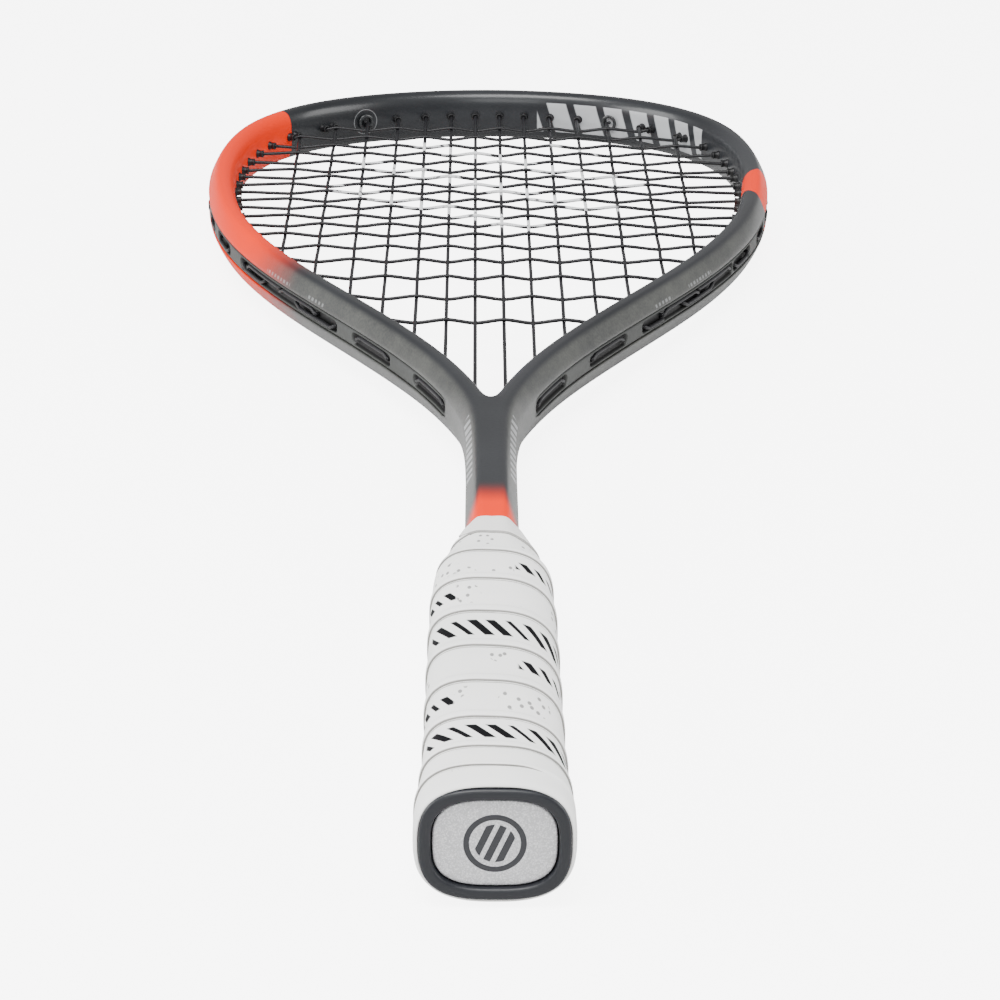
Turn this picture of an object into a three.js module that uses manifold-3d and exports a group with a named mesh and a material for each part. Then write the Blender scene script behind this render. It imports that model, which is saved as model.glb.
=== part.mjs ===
// A strung squash racket as separate parts, in millimetres.
// Parts are drawn with Y running from the butt (0) to the tip of the head, X across the head
// and Z square to the string bed, which lies at Z 0. The finished group lies flat, with its lowest
// point on Z 0.
import * as THREE from "three";
import { mergeVertices } from "three/addons/utils/BufferGeometryUtils.js";
import Module from "manifold-3d";

const wasm = await Module();
wasm.setup();

// Driving dimensions.
const LENGTH = 686;
const BUMPER_PROUD = 0.9;
const BEAM_HALF_WIDTH = 4.95;
const BEAM_HALF_HEIGHT = 9.93;
const SHAFT_OFFSET = 2.4;
const SHAFT_END_Y = 6;
const SHAFT_STEP_Y = 167;
const SHAFT_STEP_SCALE = 0.82;
const GROOVE_FLOOR = 2.65;
const GROOVE_HALF = 3.15;
const STRIP_GAP = 0.3;
const STRIP_FLOOR_TOP = 3.75;
const WINDOW_HALF = 2.25;
const STRIP_LOW_Y = 291;
const STRIP_TOP_Y = 587;
const STRING_RADIUS = 0.6;
const STRING_SIDES = 5;
const WEAVE = 1.35;
const LOOP_OFFSET = 4.6;
const LANE = 1.35;
const BARREL_PROUD = 2.6;
const SMALL_BARREL = { sides: 6, bore: 1.05, outer: 1.5, hole: 1.85 };
const LARGE_BARREL = { sides: 8, bore: 2.35, outer: 2.9, hole: 3.25 };
const KNOT_RADIUS = 1.2;
const KNOT_HEIGHT = 2.15;
const GRIP_FLATNESS = 3.35;
const BUTT_RADIUS = 18;
const RING_STEP = 26;
const RING_TURN = THREE.MathUtils.degToRad(8);
const LOOP_STEP = 12;
const BEND_LEAD = 0.55;
const HANDLE_SIDES = 20;
const FAR = 9;

const TIP_Y = LENGTH - BUMPER_PROUD - BEAM_HALF_WIDTH;

// Centre line of the right half of the frame, from the shaft up to the tip of the head.
const HALF_OUTLINE = [
  [SHAFT_OFFSET, 225],
  [2.6, 245],
  [3.6, 265],
  [6.3, 281.5],
  [11.2, 299.1],
  [17.4, 316.5],
  [32.6, 349.8],
  [49.7, 382.4],
  [66.7, 415],
  [81.6, 448.6],
  [92.9, 483.7],
  [99.6, 519.9],
  [102.5, 556.7],
  [100.7, 593.2],
  [91.2, 629],
  [69.3, 657.8],
  [36.2, 674.8],
  [0, TIP_Y],
];

// Strings: crosses from the tip down, and the mains from the middle outwards.
const CROSS_Y = [
  650.1, 635, 621, 608, 594.5, 581.3, 571.2, 559, 548.5, 536.6,
  526.2, 513, 501.3, 488, 471.6, 454.2, 433, 408.7, 381.6,
];
const MAIN_TOP_X = [5.05, 15.2, 25.9, 37.5, 50.1, 63, 77.2];
const MAIN_LOW_X = [4.75, 14.35, 24.7, 36, 47.65, 61, 73.75];
const LEANING_MAINS = 4;
const LEAN = THREE.MathUtils.degToRad(28);
const BUMPER_CROSSES = 5;

const paint = new THREE.MeshStandardMaterial({ color: 0x3a3d42, roughness: 0.42, metalness: 0.2 });
const guardPlastic = new THREE.MeshStandardMaterial({ color: 0x17181a, roughness: 0.5 });
const stripPlastic = new THREE.MeshStandardMaterial({ color: 0x3f423f, roughness: 0.5 });
const clearPlastic = new THREE.MeshStandardMaterial({ color: 0x8b9094, roughness: 0.25 });
const stringPolymer = new THREE.MeshStandardMaterial({ color: 0x15161a, roughness: 0.35 });
const foam = new THREE.MeshStandardMaterial({ color: 0x4a4a48, roughness: 0.8 });
const gripSkin = new THREE.MeshStandardMaterial({ color: 0xe9e7e3, roughness: 0.62 });
const tapeFilm = new THREE.MeshStandardMaterial({ color: 0xf1f0ed, roughness: 0.45 });
const capPlastic = new THREE.MeshStandardMaterial({ color: 0x33363c, roughness: 0.45 });
const badgeFoil = new THREE.MeshStandardMaterial({ color: 0xb9bcbf, roughness: 0.4, metalness: 0.6 });
const stapleSteel = new THREE.MeshStandardMaterial({ color: 0xa8abae, roughness: 0.3, metalness: 1 });

// ---------------------------------------------------------------- solids and meshes

function solid(geometry) {
  const bare = geometry.clone();
  bare.deleteAttribute("normal");
  bare.deleteAttribute("uv");
  const merged = mergeVertices(bare, 1e-4);
  const vertProperties = merged.attributes.position.array;
  const triVerts = new Uint32Array(merged.index.array);
  return new wasm.Manifold(new wasm.Mesh({ numProp: 3, vertProperties, triVerts }));
}

function joined(solids) {
  return solids.reduce((sum, one) => sum.add(one));
}

const racket = new THREE.Group();

function addPiece(name, material, body) {
  const mesh = body.getMesh();
  const geometry = new THREE.BufferGeometry();
  geometry.setAttribute("position", new THREE.BufferAttribute(mesh.vertProperties, 3));
  geometry.setIndex(new THREE.BufferAttribute(mesh.triVerts, 1));
  geometry.computeVertexNormals();
  const piece = new THREE.Mesh(geometry, material);
  piece.name = name;
  racket.add(piece);
}

function box(low, high) {
  const size = high.map((value, axis) => value - low[axis]);
  const centre = high.map((value, axis) => (value + low[axis]) / 2);
  return solid(new THREE.BoxGeometry(...size).translate(...centre));
}

// ---------------------------------------------------------------- sweeps

// A path with one ring of the swept section at each point.
class Route extends THREE.Curve {
  constructor(points, tangents) {
    super();
    this.points = points;
    this.tangents = tangents || points.map((_, i) => Route.bisector(points, i));
  }

  static bisector(points, i) {
    const before = points[Math.max(i - 1, 0)];
    const here = points[i];
    const after = points[Math.min(i + 1, points.length - 1)];
    const arriving = here.clone().sub(before).normalize();
    const leaving = after.clone().sub(here).normalize();
    return arriving.add(leaving).normalize();
  }

  getUtoTmapping(u) {
    return u;
  }

  getPoint(t, target = new THREE.Vector3()) {
    return target.copy(this.points[Math.round(t * (this.points.length - 1))]);
  }

  getTangent(t, target = new THREE.Vector3()) {
    return target.copy(this.tangents[Math.round(t * (this.points.length - 1))]);
  }
}

// section holds [outward, up] pairs; the path runs counter-clockwise round the head.
function sweep(section, points, tangents) {
  const shape = new THREE.Shape(section.map(([outward, up]) => new THREE.Vector2(-up, -outward)));
  const extrudePath = new Route(points, tangents);
  return solid(new THREE.ExtrudeGeometry(shape, { steps: points.length - 1, extrudePath }));
}

function polygon(radius, sides) {
  return Array.from({ length: sides }, (_, i) => {
    const angle = (2 * Math.PI * i) / sides;
    return [radius * Math.sin(angle), radius * Math.cos(angle)];
  });
}

function cord(points) {
  return sweep(polygon(STRING_RADIUS, STRING_SIDES), points);
}

// ---------------------------------------------------------------- the frame's centre line

const rightPoints = HALF_OUTLINE.map(([x, y]) => new THREE.Vector3(x, y, 0));
const leftPoints = HALF_OUTLINE.slice(0, -1).reverse().map(([x, y]) => new THREE.Vector3(-x, y, 0));
const outline = new THREE.CatmullRomCurve3([...rightPoints, ...leftPoints], false, "centripetal");
outline.arcLengthDivisions = 2400;
const OUTLINE_LENGTH = outline.getLength();
const TIP_U = 0.5;

function mirrored(point) {
  return new THREE.Vector3(-point.x, point.y, point.z);
}

// The place and direction of the centre line. The tip lies exactly on the middle plane.
function placeAt(u) {
  return u === TIP_U ? new THREE.Vector3(0, TIP_Y, 0) : outline.getPointAt(u);
}

function alongAt(u) {
  return u === TIP_U ? new THREE.Vector3(-1, 0, 0) : outline.getTangentAt(u);
}

function outward(u) {
  const along = alongAt(u);
  return new THREE.Vector3(along.y, -along.x, 0);
}

// A point beside the centre line: so far outwards and so far up.
function beside(u, out, up) {
  return placeAt(u).addScaledVector(outward(u), out).setZ(up);
}

// The place on the right half where measure(u) reaches a value, by halving.
function placeWhere(measure, value, low, high) {
  const rising = measure(high) > measure(low);
  let a = low;
  let b = high;
  for (let i = 0; i < 50; i++) {
    const middle = (a + b) / 2;
    if (measure(middle) < value === rising) a = middle;
    else b = middle;
  }
  return (a + b) / 2;
}

const heightAt = (u) => outline.getPointAt(u).y;
const LOW_U = placeWhere(heightAt, STRIP_LOW_Y, 0, TIP_U);
const SPLIT_U = placeWhere(heightAt, STRIP_TOP_Y, 0, TIP_U);

// Ring places from one end to the other: closer where the line turns.
function ringPlaces(from, to, stops) {
  const places = [from];
  const nudge = 1 / OUTLINE_LENGTH;
  let last = from;
  for (let u = from + nudge; u < to; u += nudge) {
    const turned = outline.getTangentAt(u).angleTo(outline.getTangentAt(last));
    const run = (u - last) * OUTLINE_LENGTH;
    const stop = stops.find((place) => place > last && place <= u);
    if (stop || turned > RING_TURN || run > RING_STEP) {
      last = stop || u;
      places.push(last);
    }
  }
  if (to - last < 2 * nudge) places.pop();
  places.push(to);
  return places;
}

const rings = ringPlaces(0, TIP_U, [LOW_U, SPLIT_U]);

function placesBetween(from, to) {
  return [from, ...rings.filter((u) => u > from + 1e-6 && u < to - 1e-6), to];
}

function sweepBetween(section, from, to) {
  const places = placesBetween(from, to);
  return sweep(section, places.map(placeAt), places.map(alongAt));
}

// The same sweep on the left half: the path still runs counter-clockwise.
function sweepBetweenLeft(section, from, to) {
  const places = placesBetween(from, to).reverse();
  const points = places.map((u) => mirrored(placeAt(u)));
  const tangents = places.map((u) => mirrored(alongAt(u)).negate());
  return sweep(section, points, tangents);
}

// ---------------------------------------------------------------- string holes

// A hole through the beam. Its mouth is the end of the barrel on the string bed's side.
function port(u, lean, barrel) {
  const along = outline.getTangentAt(u);
  const axis = outward(u).multiplyScalar(Math.cos(lean)).addScaledVector(along, -Math.sin(lean));
  const centre = outline.getPointAt(u);
  const reach = (BEAM_HALF_WIDTH + BARREL_PROUD) / Math.cos(lean);
  const mouth = centre.clone().addScaledVector(axis, -reach);
  return { u, lean, barrel, axis, centre, mouth, reach };
}

// The port whose mouth has the given X or Y.
function portAt(coordinate, value, lean, barrel, low, high) {
  const measure = (u) => port(u, lean, barrel).mouth[coordinate];
  return port(placeWhere(measure, value, low, high), lean, barrel);
}

const WIDEST_U = placeWhere(heightAt, 557, 0, TIP_U);
const crossPorts = CROSS_Y.map((y) => portAt("y", y, 0, SMALL_BARREL, LOW_U, TIP_U));
const topPorts = MAIN_TOP_X.map((x, i) => {
  const barrel = i === 4 ? LARGE_BARREL : SMALL_BARREL;
  return portAt("x", x, 0, barrel, WIDEST_U, TIP_U);
});
const lowPorts = MAIN_LOW_X.map((x, i) => {
  const barrel = i === 4 || i === 5 ? LARGE_BARREL : SMALL_BARREL;
  return portAt("x", x, i < LEANING_MAINS ? LEAN : 0, barrel, LOW_U, WIDEST_U);
});
const guardPorts = [...topPorts, ...crossPorts.slice(0, BUMPER_CROSSES)];
const stripPorts = [...lowPorts, ...crossPorts.slice(BUMPER_CROSSES)];

// A prism along a port's axis, between two distances from the centre line.
function alongPort(place, radius, from, to, side) {
  const geometry = new THREE.CylinderGeometry(radius, radius, to - from, place.barrel.sides);
  const axis = side < 0 ? mirrored(place.axis) : place.axis;
  const centre = side < 0 ? mirrored(place.centre) : place.centre;
  const turn = new THREE.Quaternion().setFromUnitVectors(new THREE.Vector3(0, 1, 0), axis);
  geometry.translate(0, (from + to) / 2, 0);
  geometry.applyQuaternion(turn);
  geometry.translate(centre.x, centre.y, centre.z);
  return solid(geometry);
}

const boreThrough = (side) => (place) => alongPort(place, place.barrel.bore, -FAR - 4, FAR + 2, side);
const barrelFrom = (side) => (place) => {
  const seat = (GROOVE_FLOOR + 2 * STRIP_GAP) / Math.cos(place.lean);
  return alongPort(place, place.barrel.outer, -place.reach, seat, side);
};
const holeThrough = (side) => (place) => alongPort(place, place.barrel.hole, -FAR, FAR, side);

// ---------------------------------------------------------------- frame

const BEAM_SECTION = [
  [4.95, 3.4],
  [3.5, 7.3],
  [1.8, 9.2],
  [0.8, BEAM_HALF_HEIGHT],
  [-2.6, BEAM_HALF_HEIGHT],
  [-4.2, 8.6],
  [-BEAM_HALF_WIDTH, 6.2],
];
const CAVITY_SECTION = [
  [1.4, 3.9],
  [2.6, 5.8],
  [0.9, 8.7],
  [-2.4, 8.8],
  [-3.8, 6],
];

function bothSides(section) {
  return [...section, ...section.map(([out, up]) => [out, -up]).reverse()];
}

// A run of the shaft's two tubes, side by side.
function shaftRun(section, lowY, highY) {
  const right = [new THREE.Vector3(SHAFT_OFFSET, lowY, 0), new THREE.Vector3(SHAFT_OFFSET, highY, 0)];
  const up = new THREE.Vector3(0, 1, 0);
  const down = new THREE.Vector3(0, -1, 0);
  const left = right.map(mirrored).reverse();
  return sweep(section, right, [up, up]).add(sweep(section, left, [down, down]));
}

// The whole tube, both halves, with a lower section where it runs inside the handle.
function wholeTube(section, bottomY, stepY) {
  const stepped = section.map(([out, up]) => [out, up * SHAFT_STEP_SCALE]);
  return joined([
    sweepBetween(section, 0, TIP_U),
    sweepBetweenLeft(section, 0, TIP_U),
    shaftRun(section, stepY, HALF_OUTLINE[0][1] + 1),
    shaftRun(stepped, bottomY, stepY + 1),
  ]);
}

// The web that rounds off the crotch where the two arms meet.
function throatWeb() {
  const radius = 4.4;
  const centreY = 285;
  const shape = new THREE.Shape();
  shape.moveTo(-radius, centreY);
  shape.absarc(0, centreY, radius, Math.PI, 2 * Math.PI, false);
  shape.lineTo(radius + 1, centreY - 14);
  shape.lineTo(-radius - 1, centreY - 14);
  const depth = 2 * (BEAM_HALF_HEIGHT - 0.9);
  const geometry = new THREE.ExtrudeGeometry(shape, { depth, bevelEnabled: false, curveSegments: 8 });
  return solid(geometry.translate(0, 0, -depth / 2));
}

const grooveSection = [
  [GROOVE_FLOOR, -GROOVE_HALF],
  [FAR, -GROOVE_HALF],
  [FAR, GROOVE_HALF],
  [GROOVE_FLOOR, GROOVE_HALF],
];
const allPorts = [...guardPorts, ...stripPorts];
const grooveFrom = LOW_U - STRIP_GAP / OUTLINE_LENGTH;
const frame = wholeTube(bothSides(BEAM_SECTION), SHAFT_END_Y, SHAFT_STEP_Y)
  .add(throatWeb())
  .subtract(wholeTube(bothSides(CAVITY_SECTION), SHAFT_END_Y - 2, SHAFT_STEP_Y + 2))
  .subtract(sweepBetween(grooveSection, grooveFrom, TIP_U))
  .subtract(sweepBetweenLeft(grooveSection, grooveFrom, TIP_U))
  .subtract(joined([...allPorts.map(holeThrough(1)), ...allPorts.map(holeThrough(-1))]));
addPiece("frame", paint, frame);

// ---------------------------------------------------------------- bumper guard and strips

const guardSection = [
  [GROOVE_FLOOR + STRIP_GAP, GROOVE_HALF - STRIP_GAP],
  [BEAM_HALF_WIDTH + STRIP_GAP, GROOVE_HALF - STRIP_GAP],
  [BEAM_HALF_WIDTH + STRIP_GAP, 4.5],
  [BEAM_HALF_WIDTH + BUMPER_PROUD, 3.8],
  [BEAM_HALF_WIDTH + BUMPER_PROUD, 2.2],
  [STRIP_FLOOR_TOP, 2.2],
];
const guardFrom = SPLIT_U + 1 / OUTLINE_LENGTH;

// A tie-off port keeps its own sleeve, so the guard only has the bore there.
const ownBarrel = (place) => place.barrel === SMALL_BARREL;

function bumperGuard() {
  const bodies = [
    sweepBetween(bothSides(guardSection), guardFrom, TIP_U),
    sweepBetweenLeft(bothSides(guardSection), guardFrom, TIP_U),
  ];
  const bores = [];
  for (const side of [1, -1]) {
    bodies.push(...guardPorts.filter(ownBarrel).map(barrelFrom(side)));
    bores.push(...guardPorts.map(boreThrough(side)));
  }
  return joined(bodies).subtract(joined(bores));
}
addPiece("bumper_guard", guardPlastic, bumperGuard());

function tieOffSleeve(side) {
  const place = topPorts[4];
  const sleeve = alongPort(place, place.barrel.outer, -BEAM_HALF_WIDTH - 1.4, GROOVE_FLOOR - STRIP_GAP, side);
  return sleeve.subtract(boreThrough(side)(place));
}
addPiece("tie_off_sleeve_right", clearPlastic, tieOffSleeve(1));
addPiece("tie_off_sleeve_left", clearPlastic, tieOffSleeve(-1));

const stripSection = [
  [GROOVE_FLOOR + STRIP_GAP, -GROOVE_HALF + STRIP_GAP],
  [BEAM_HALF_WIDTH, -GROOVE_HALF + STRIP_GAP],
  [BEAM_HALF_WIDTH, GROOVE_HALF - STRIP_GAP],
  [GROOVE_FLOOR + STRIP_GAP, GROOVE_HALF - STRIP_GAP],
];
const windowSection = [
  [STRIP_FLOOR_TOP, -WINDOW_HALF],
  [FAR, -WINDOW_HALF],
  [FAR, WINDOW_HALF],
  [STRIP_FLOOR_TOP, WINDOW_HALF],
];

// Loops of string outside the strips: pairs of ports on each side.
const mainLoops = [[0, 1], [2, 3], [4, 5], [5, 6]].map((pair) => pair.map((i) => lowPorts[i]));
const crossPair = (first) => [crossPorts[first], crossPorts[first + 1]];
const rightLoops = [...mainLoops, [crossPorts[18], lowPorts[4]]];
const leftLoops = [...mainLoops];
for (let i = 4; i < 18; i += 2) rightLoops.push(crossPair(i));
for (let i = 5; i < 18; i += 2) leftLoops.push(crossPair(i));

function grommetStrip(side) {
  const run = side > 0 ? sweepBetween : sweepBetweenLeft;
  const margin = (SMALL_BARREL.outer + 0.5) / OUTLINE_LENGTH;
  const body = joined([run(stripSection, LOW_U, SPLIT_U), ...stripPorts.map(barrelFrom(side))]);
  const windows = (side > 0 ? rightLoops : leftLoops).map(([one, other]) => {
    const shifts = [one, other].map((p) => p.u - (Math.tan(p.lean) * LOOP_OFFSET) / OUTLINE_LENGTH);
    return run(windowSection, Math.min(...shifts) - margin, Math.max(...shifts) + margin);
  });
  return body.subtract(joined(windows)).subtract(joined(stripPorts.map(boreThrough(side))));
}
addPiece("grommet_strip_right", stripPlastic, grommetStrip(1));
addPiece("grommet_strip_left", stripPlastic, grommetStrip(-1));

// ---------------------------------------------------------------- strings

// Points of a string that goes from the bed out through a port, on the right side.
// shift is the string's height in the bore; along is the way it turns outside, +1 towards the tip.
function outThrough(place, along, shift = 0) {
  const tangent = outline.getTangentAt(place.u).multiplyScalar(along);
  const corner = place.centre.clone().addScaledVector(place.axis, LOOP_OFFSET / Math.cos(place.lean));
  const points = [
    place.mouth.clone().addScaledVector(place.axis, -BEND_LEAD),
    corner.clone().addScaledVector(place.axis, -BEND_LEAD),
    corner.clone().addScaledVector(tangent, BEND_LEAD),
  ];
  points.forEach((point) => point.setZ(shift));
  return points;
}

// Where the centre of a string leaves a port outside, as a place on the outline.
function exitPlace(place) {
  return place.u - (Math.tan(place.lean) * LOOP_OFFSET) / OUTLINE_LENGTH;
}

// Points of the loop outside between two places on the outline, in its own lane.
function lanePoints(from, to, lane) {
  const clear = (3.4 / OUTLINE_LENGTH) * Math.sign(to - from);
  const first = from + clear;
  const last = to - clear;
  const count = Math.max(1, Math.ceil((Math.abs(last - first) * OUTLINE_LENGTH) / LOOP_STEP));
  const places = Array.from({ length: count + 1 }, (_, i) => first + ((last - first) * i) / count);
  return places.map((place) => beside(place, LOOP_OFFSET, lane));
}

// From the bed out through one port, along the lane and in through the other.
function loopBetween(one, other, lane) {
  const along = Math.sign(other.u - one.u);
  return [
    ...outThrough(one, along),
    ...lanePoints(exitPlace(one), exitPlace(other), lane),
    ...outThrough(other, -along).reverse(),
  ];
}

// The tied-off end: out through one port, back in through a larger one, ending at its mouth.
function tiedEnd(one, other, lane) {
  const along = Math.sign(other.u - one.u);
  const knot = other.mouth.clone().addScaledVector(other.axis, -2.4).setZ(Math.sign(lane) * KNOT_HEIGHT);
  return [
    ...outThrough(one, along),
    ...lanePoints(exitPlace(one), exitPlace(other), lane),
    ...outThrough(other, -along, lane).reverse(),
    knot,
  ];
}

function knotAt(point) {
  return solid(new THREE.SphereGeometry(KNOT_RADIUS, 8, 6).translate(point.x, point.y, point.z));
}

function mainString() {
  const half = [];
  for (let i = 0; i < 7; i += 2) {
    const next =
      i + 1 < 7
        ? loopBetween(lowPorts[i], lowPorts[i + 1], LANE)
        : tiedEnd(lowPorts[6], lowPorts[5], LANE);
    half.push(...next);
    if (i + 2 < 7) half.push(...loopBetween(topPorts[i + 1], topPorts[i + 2], LANE));
  }
  const start = outThrough(topPorts[0], 1).reverse();
  const crown = beside(TIP_U, LOOP_OFFSET, LANE);
  const right = [...start, ...half];
  const route = [...right.map(mirrored).reverse(), crown, ...right];
  const ends = [route[0], route[route.length - 1]];
  return joined([cord(route), ...ends.map(knotAt)]);
}
addPiece("main_string", stringPolymer, mainString());

// Where a cross meets the mains, from the left to the right.
function meetings(y) {
  const found = [];
  topPorts.forEach((top, i) => {
    const low = lowPorts[i];
    if (y > top.mouth.y - 1 || y < low.mouth.y + 1) return;
    const share = (y - low.mouth.y) / (top.mouth.y - low.mouth.y);
    const x = low.mouth.x + share * (top.mouth.x - low.mouth.x);
    found.push({ x, order: i + 7 }, { x: -x, order: 6 - i });
  });
  return found.sort((a, b) => a.x - b.x);
}

function crossString() {
  const route = [];
  const tieStart = tiedEnd(crossPorts[0], topPorts[4], -LANE).map(mirrored).reverse();
  route.push(...tieStart);
  CROSS_Y.forEach((y, i) => {
    const toRight = i % 2 === 0;
    const heightOver = (order) => ((order + i) % 2 ? WEAVE : -WEAVE);
    const woven = meetings(y).map(({ x, order }) => new THREE.Vector3(x, y, heightOver(order)));
    route.push(...(toRight ? woven : woven.reverse()));
    if (i === CROSS_Y.length - 1) {
      route.push(...tiedEnd(crossPorts[i], lowPorts[4], -LANE));
      return;
    }
    const turn = loopBetween(crossPorts[i], crossPorts[i + 1], -LANE);
    route.push(...(toRight ? turn : turn.map(mirrored)));
  });
  const ends = [route[0], route[route.length - 1]];
  return joined([cord(route), ...ends.map(knotAt)]);
}
addPiece("cross_string", stringPolymer, crossString());

// ---------------------------------------------------------------- handle

// How much narrower the handle is in Z than in X, at each height.
const FLATNESS_ALONG = [[122, GRIP_FLATNESS], [142, 2.7], [160, 0.5], [172, -1], [181, -2.5]];

function flatness(y) {
  const next = FLATNESS_ALONG.findIndex(([height]) => y < height);
  if (next === 0) return GRIP_FLATNESS;
  if (next < 0) return FLATNESS_ALONG.at(-1)[1];
  const [lowY, low] = FLATNESS_ALONG[next - 1];
  const [highY, high] = FLATNESS_ALONG[next];
  return low + ((high - low) * (y - lowY)) / (highY - lowY);
}

// A solid of rounded rectangular section from a profile of [half-width, y] points.
function handleShape(profile) {
  const geometry = new THREE.LatheGeometry(profile.map(([r, y]) => new THREE.Vector2(r, y)), HANDLE_SIDES);
  const position = geometry.attributes.position;
  const squareness = 2 / 2.7;
  for (let i = 0; i < position.count; i++) {
    const x = position.getX(i);
    const y = position.getY(i);
    const z = position.getZ(i);
    const r = Math.hypot(x, z);
    if (r < 1e-9) continue;
    const across = Math.sign(x) * Math.abs(x / r) ** squareness;
    const up = Math.sign(z) * Math.abs(z / r) ** squareness;
    position.setXYZ(i, r * across, y, Math.max(r - flatness(y), 0.7 * r) * up);
  }
  return solid(geometry);
}

const PALLET_TOP = 162;
const CAP_SKIRT_TOP = 22;
const STAPLE_Y = 14;

function staplePlace(side) {
  const sides = (from, to) => (side > 0 ? [from, to] : [-to, -from]);
  const [crownLow, crownHigh] = sides(14.3, 14.9);
  const [legLow, legHigh] = sides(9.5, 14.7);
  const [recessLow, recessHigh] = sides(14, 16.5);
  const [slotLow, slotHigh] = sides(9.2, 16.5);
  const crown = box([crownLow, STAPLE_Y - 5, -0.6], [crownHigh, STAPLE_Y + 5, 0.6]);
  const recess = box([recessLow, STAPLE_Y - 5.4, -1], [recessHigh, STAPLE_Y + 5.4, 1]);
  const legYs = [STAPLE_Y - 4.65, STAPLE_Y + 4.65];
  const legs = legYs.map((y) => box([legLow, y - 0.35, -0.35], [legHigh, y + 0.35, 0.35]));
  const slots = legYs.map((y) => box([slotLow, y - 0.65, -0.65], [slotHigh, y + 0.65, 0.65]));
  return { staple: joined([crown, ...legs]), room: joined([recess, ...slots]) };
}
const rightStaple = staplePlace(1);
const leftStaple = staplePlace(-1);
const stapleRoom = rightStaple.room.add(leftStaple.room);
addPiece("cap_staple_right", stapleSteel, rightStaple.staple);
addPiece("cap_staple_left", stapleSteel, leftStaple.staple);

function shaftBore() {
  const room = 0.3;
  const upper = BEAM_SECTION.filter(([out]) => out > 0);
  const grown = upper.map(([out, up]) => {
    return new THREE.Vector2(out + SHAFT_OFFSET + room, up * SHAFT_STEP_SCALE + room);
  });
  const right = [...grown.map((p) => new THREE.Vector2(p.x, -p.y)).reverse(), ...grown];
  const left = right.map((p) => new THREE.Vector2(-p.x, p.y)).reverse();
  const shape = new THREE.Shape([...right, ...left]);
  const geometry = new THREE.ExtrudeGeometry(shape, { depth: 240, bevelEnabled: false });
  return solid(geometry.rotateX(Math.PI / 2).translate(0, 230, 0));
}

const palletProfile = [
  [0, SHAFT_END_Y],
  [12.6, SHAFT_END_Y],
  [13.1, SHAFT_END_Y + 0.8],
  [13.1, CAP_SKIRT_TOP + 1.2],
  [14.2, CAP_SKIRT_TOP + 3],
  [14.2, 122],
  [13.7, 142],
  [10.7, 160],
  [10.4, PALLET_TOP],
  [0, PALLET_TOP],
];
// Above its shoulder the pallet is only two cheeks, one on each side of the shaft.
const betweenCheeks = box([-8.2, 146, -20], [8.2, PALLET_TOP + 5, 20]);
const pallet = handleShape(palletProfile).subtract(shaftBore()).subtract(stapleRoom);
addPiece("handle_pallet", foam, pallet.subtract(betweenCheeks));

const capProfile = [
  [0, 2.8],
  [13.9, 2.8],
  [13.9, 0.4],
  [14.3, 0],
  [16.3, 0],
  [16.8, 0.5],
  [16.8, 1.6],
  [15, 3.4],
  [15, CAP_SKIRT_TOP],
  [13.4, CAP_SKIRT_TOP],
  [13.4, 4.4],
  [0, 4.4],
];
addPiece("butt_cap", capPlastic, handleShape(capProfile).subtract(stapleRoom));

const badgeProfile = [[0, 1.3], [13.2, 1.3], [13.5, 1.6], [13.5, 2.5], [0, 2.5]];
addPiece("butt_badge", badgeFoil, handleShape(badgeProfile));

const gripProfile = [
  [17.2, 0.6],
  [17.7, 0.9],
  [BUTT_RADIUS, 2.4],
  [BUTT_RADIUS, 9],
  [17.1, 22],
  [16.4, 40],
  [16.3, 122],
  [15.7, 142],
  [12.3, 160],
  [10.4, 172],
  [9.4, 172],
  [11, 160],
  [14, 142],
  [14.5, 122],
  [14.5, CAP_SKIRT_TOP + 3],
  [15.3, CAP_SKIRT_TOP + 0.5],
  [15.3, 3.6],
  [17.2, 1.7],
  [17.2, 0.6],
];
addPiece("grip_tape", gripSkin, handleShape(gripProfile).subtract(shaftBore()));

const tapeProfile = [
  [10.4, 172.3],
  [9.8, 176],
  [8.9, 181],
  [7.8, 181],
  [8.7, 176],
  [9.3, 172.3],
  [10.4, 172.3],
];
addPiece("finishing_tape", tapeFilm, handleShape(tapeProfile).subtract(shaftBore()));

// The racket lies with its string bed level, its middle over the origin and its butt on Z 0.
racket.position.set(0, -LENGTH / 2, BUTT_RADIUS - GRIP_FLATNESS);

export default racket;
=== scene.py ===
import math

import bmesh
import bpy
import numpy as np
from mathutils import Matrix, Vector


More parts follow.
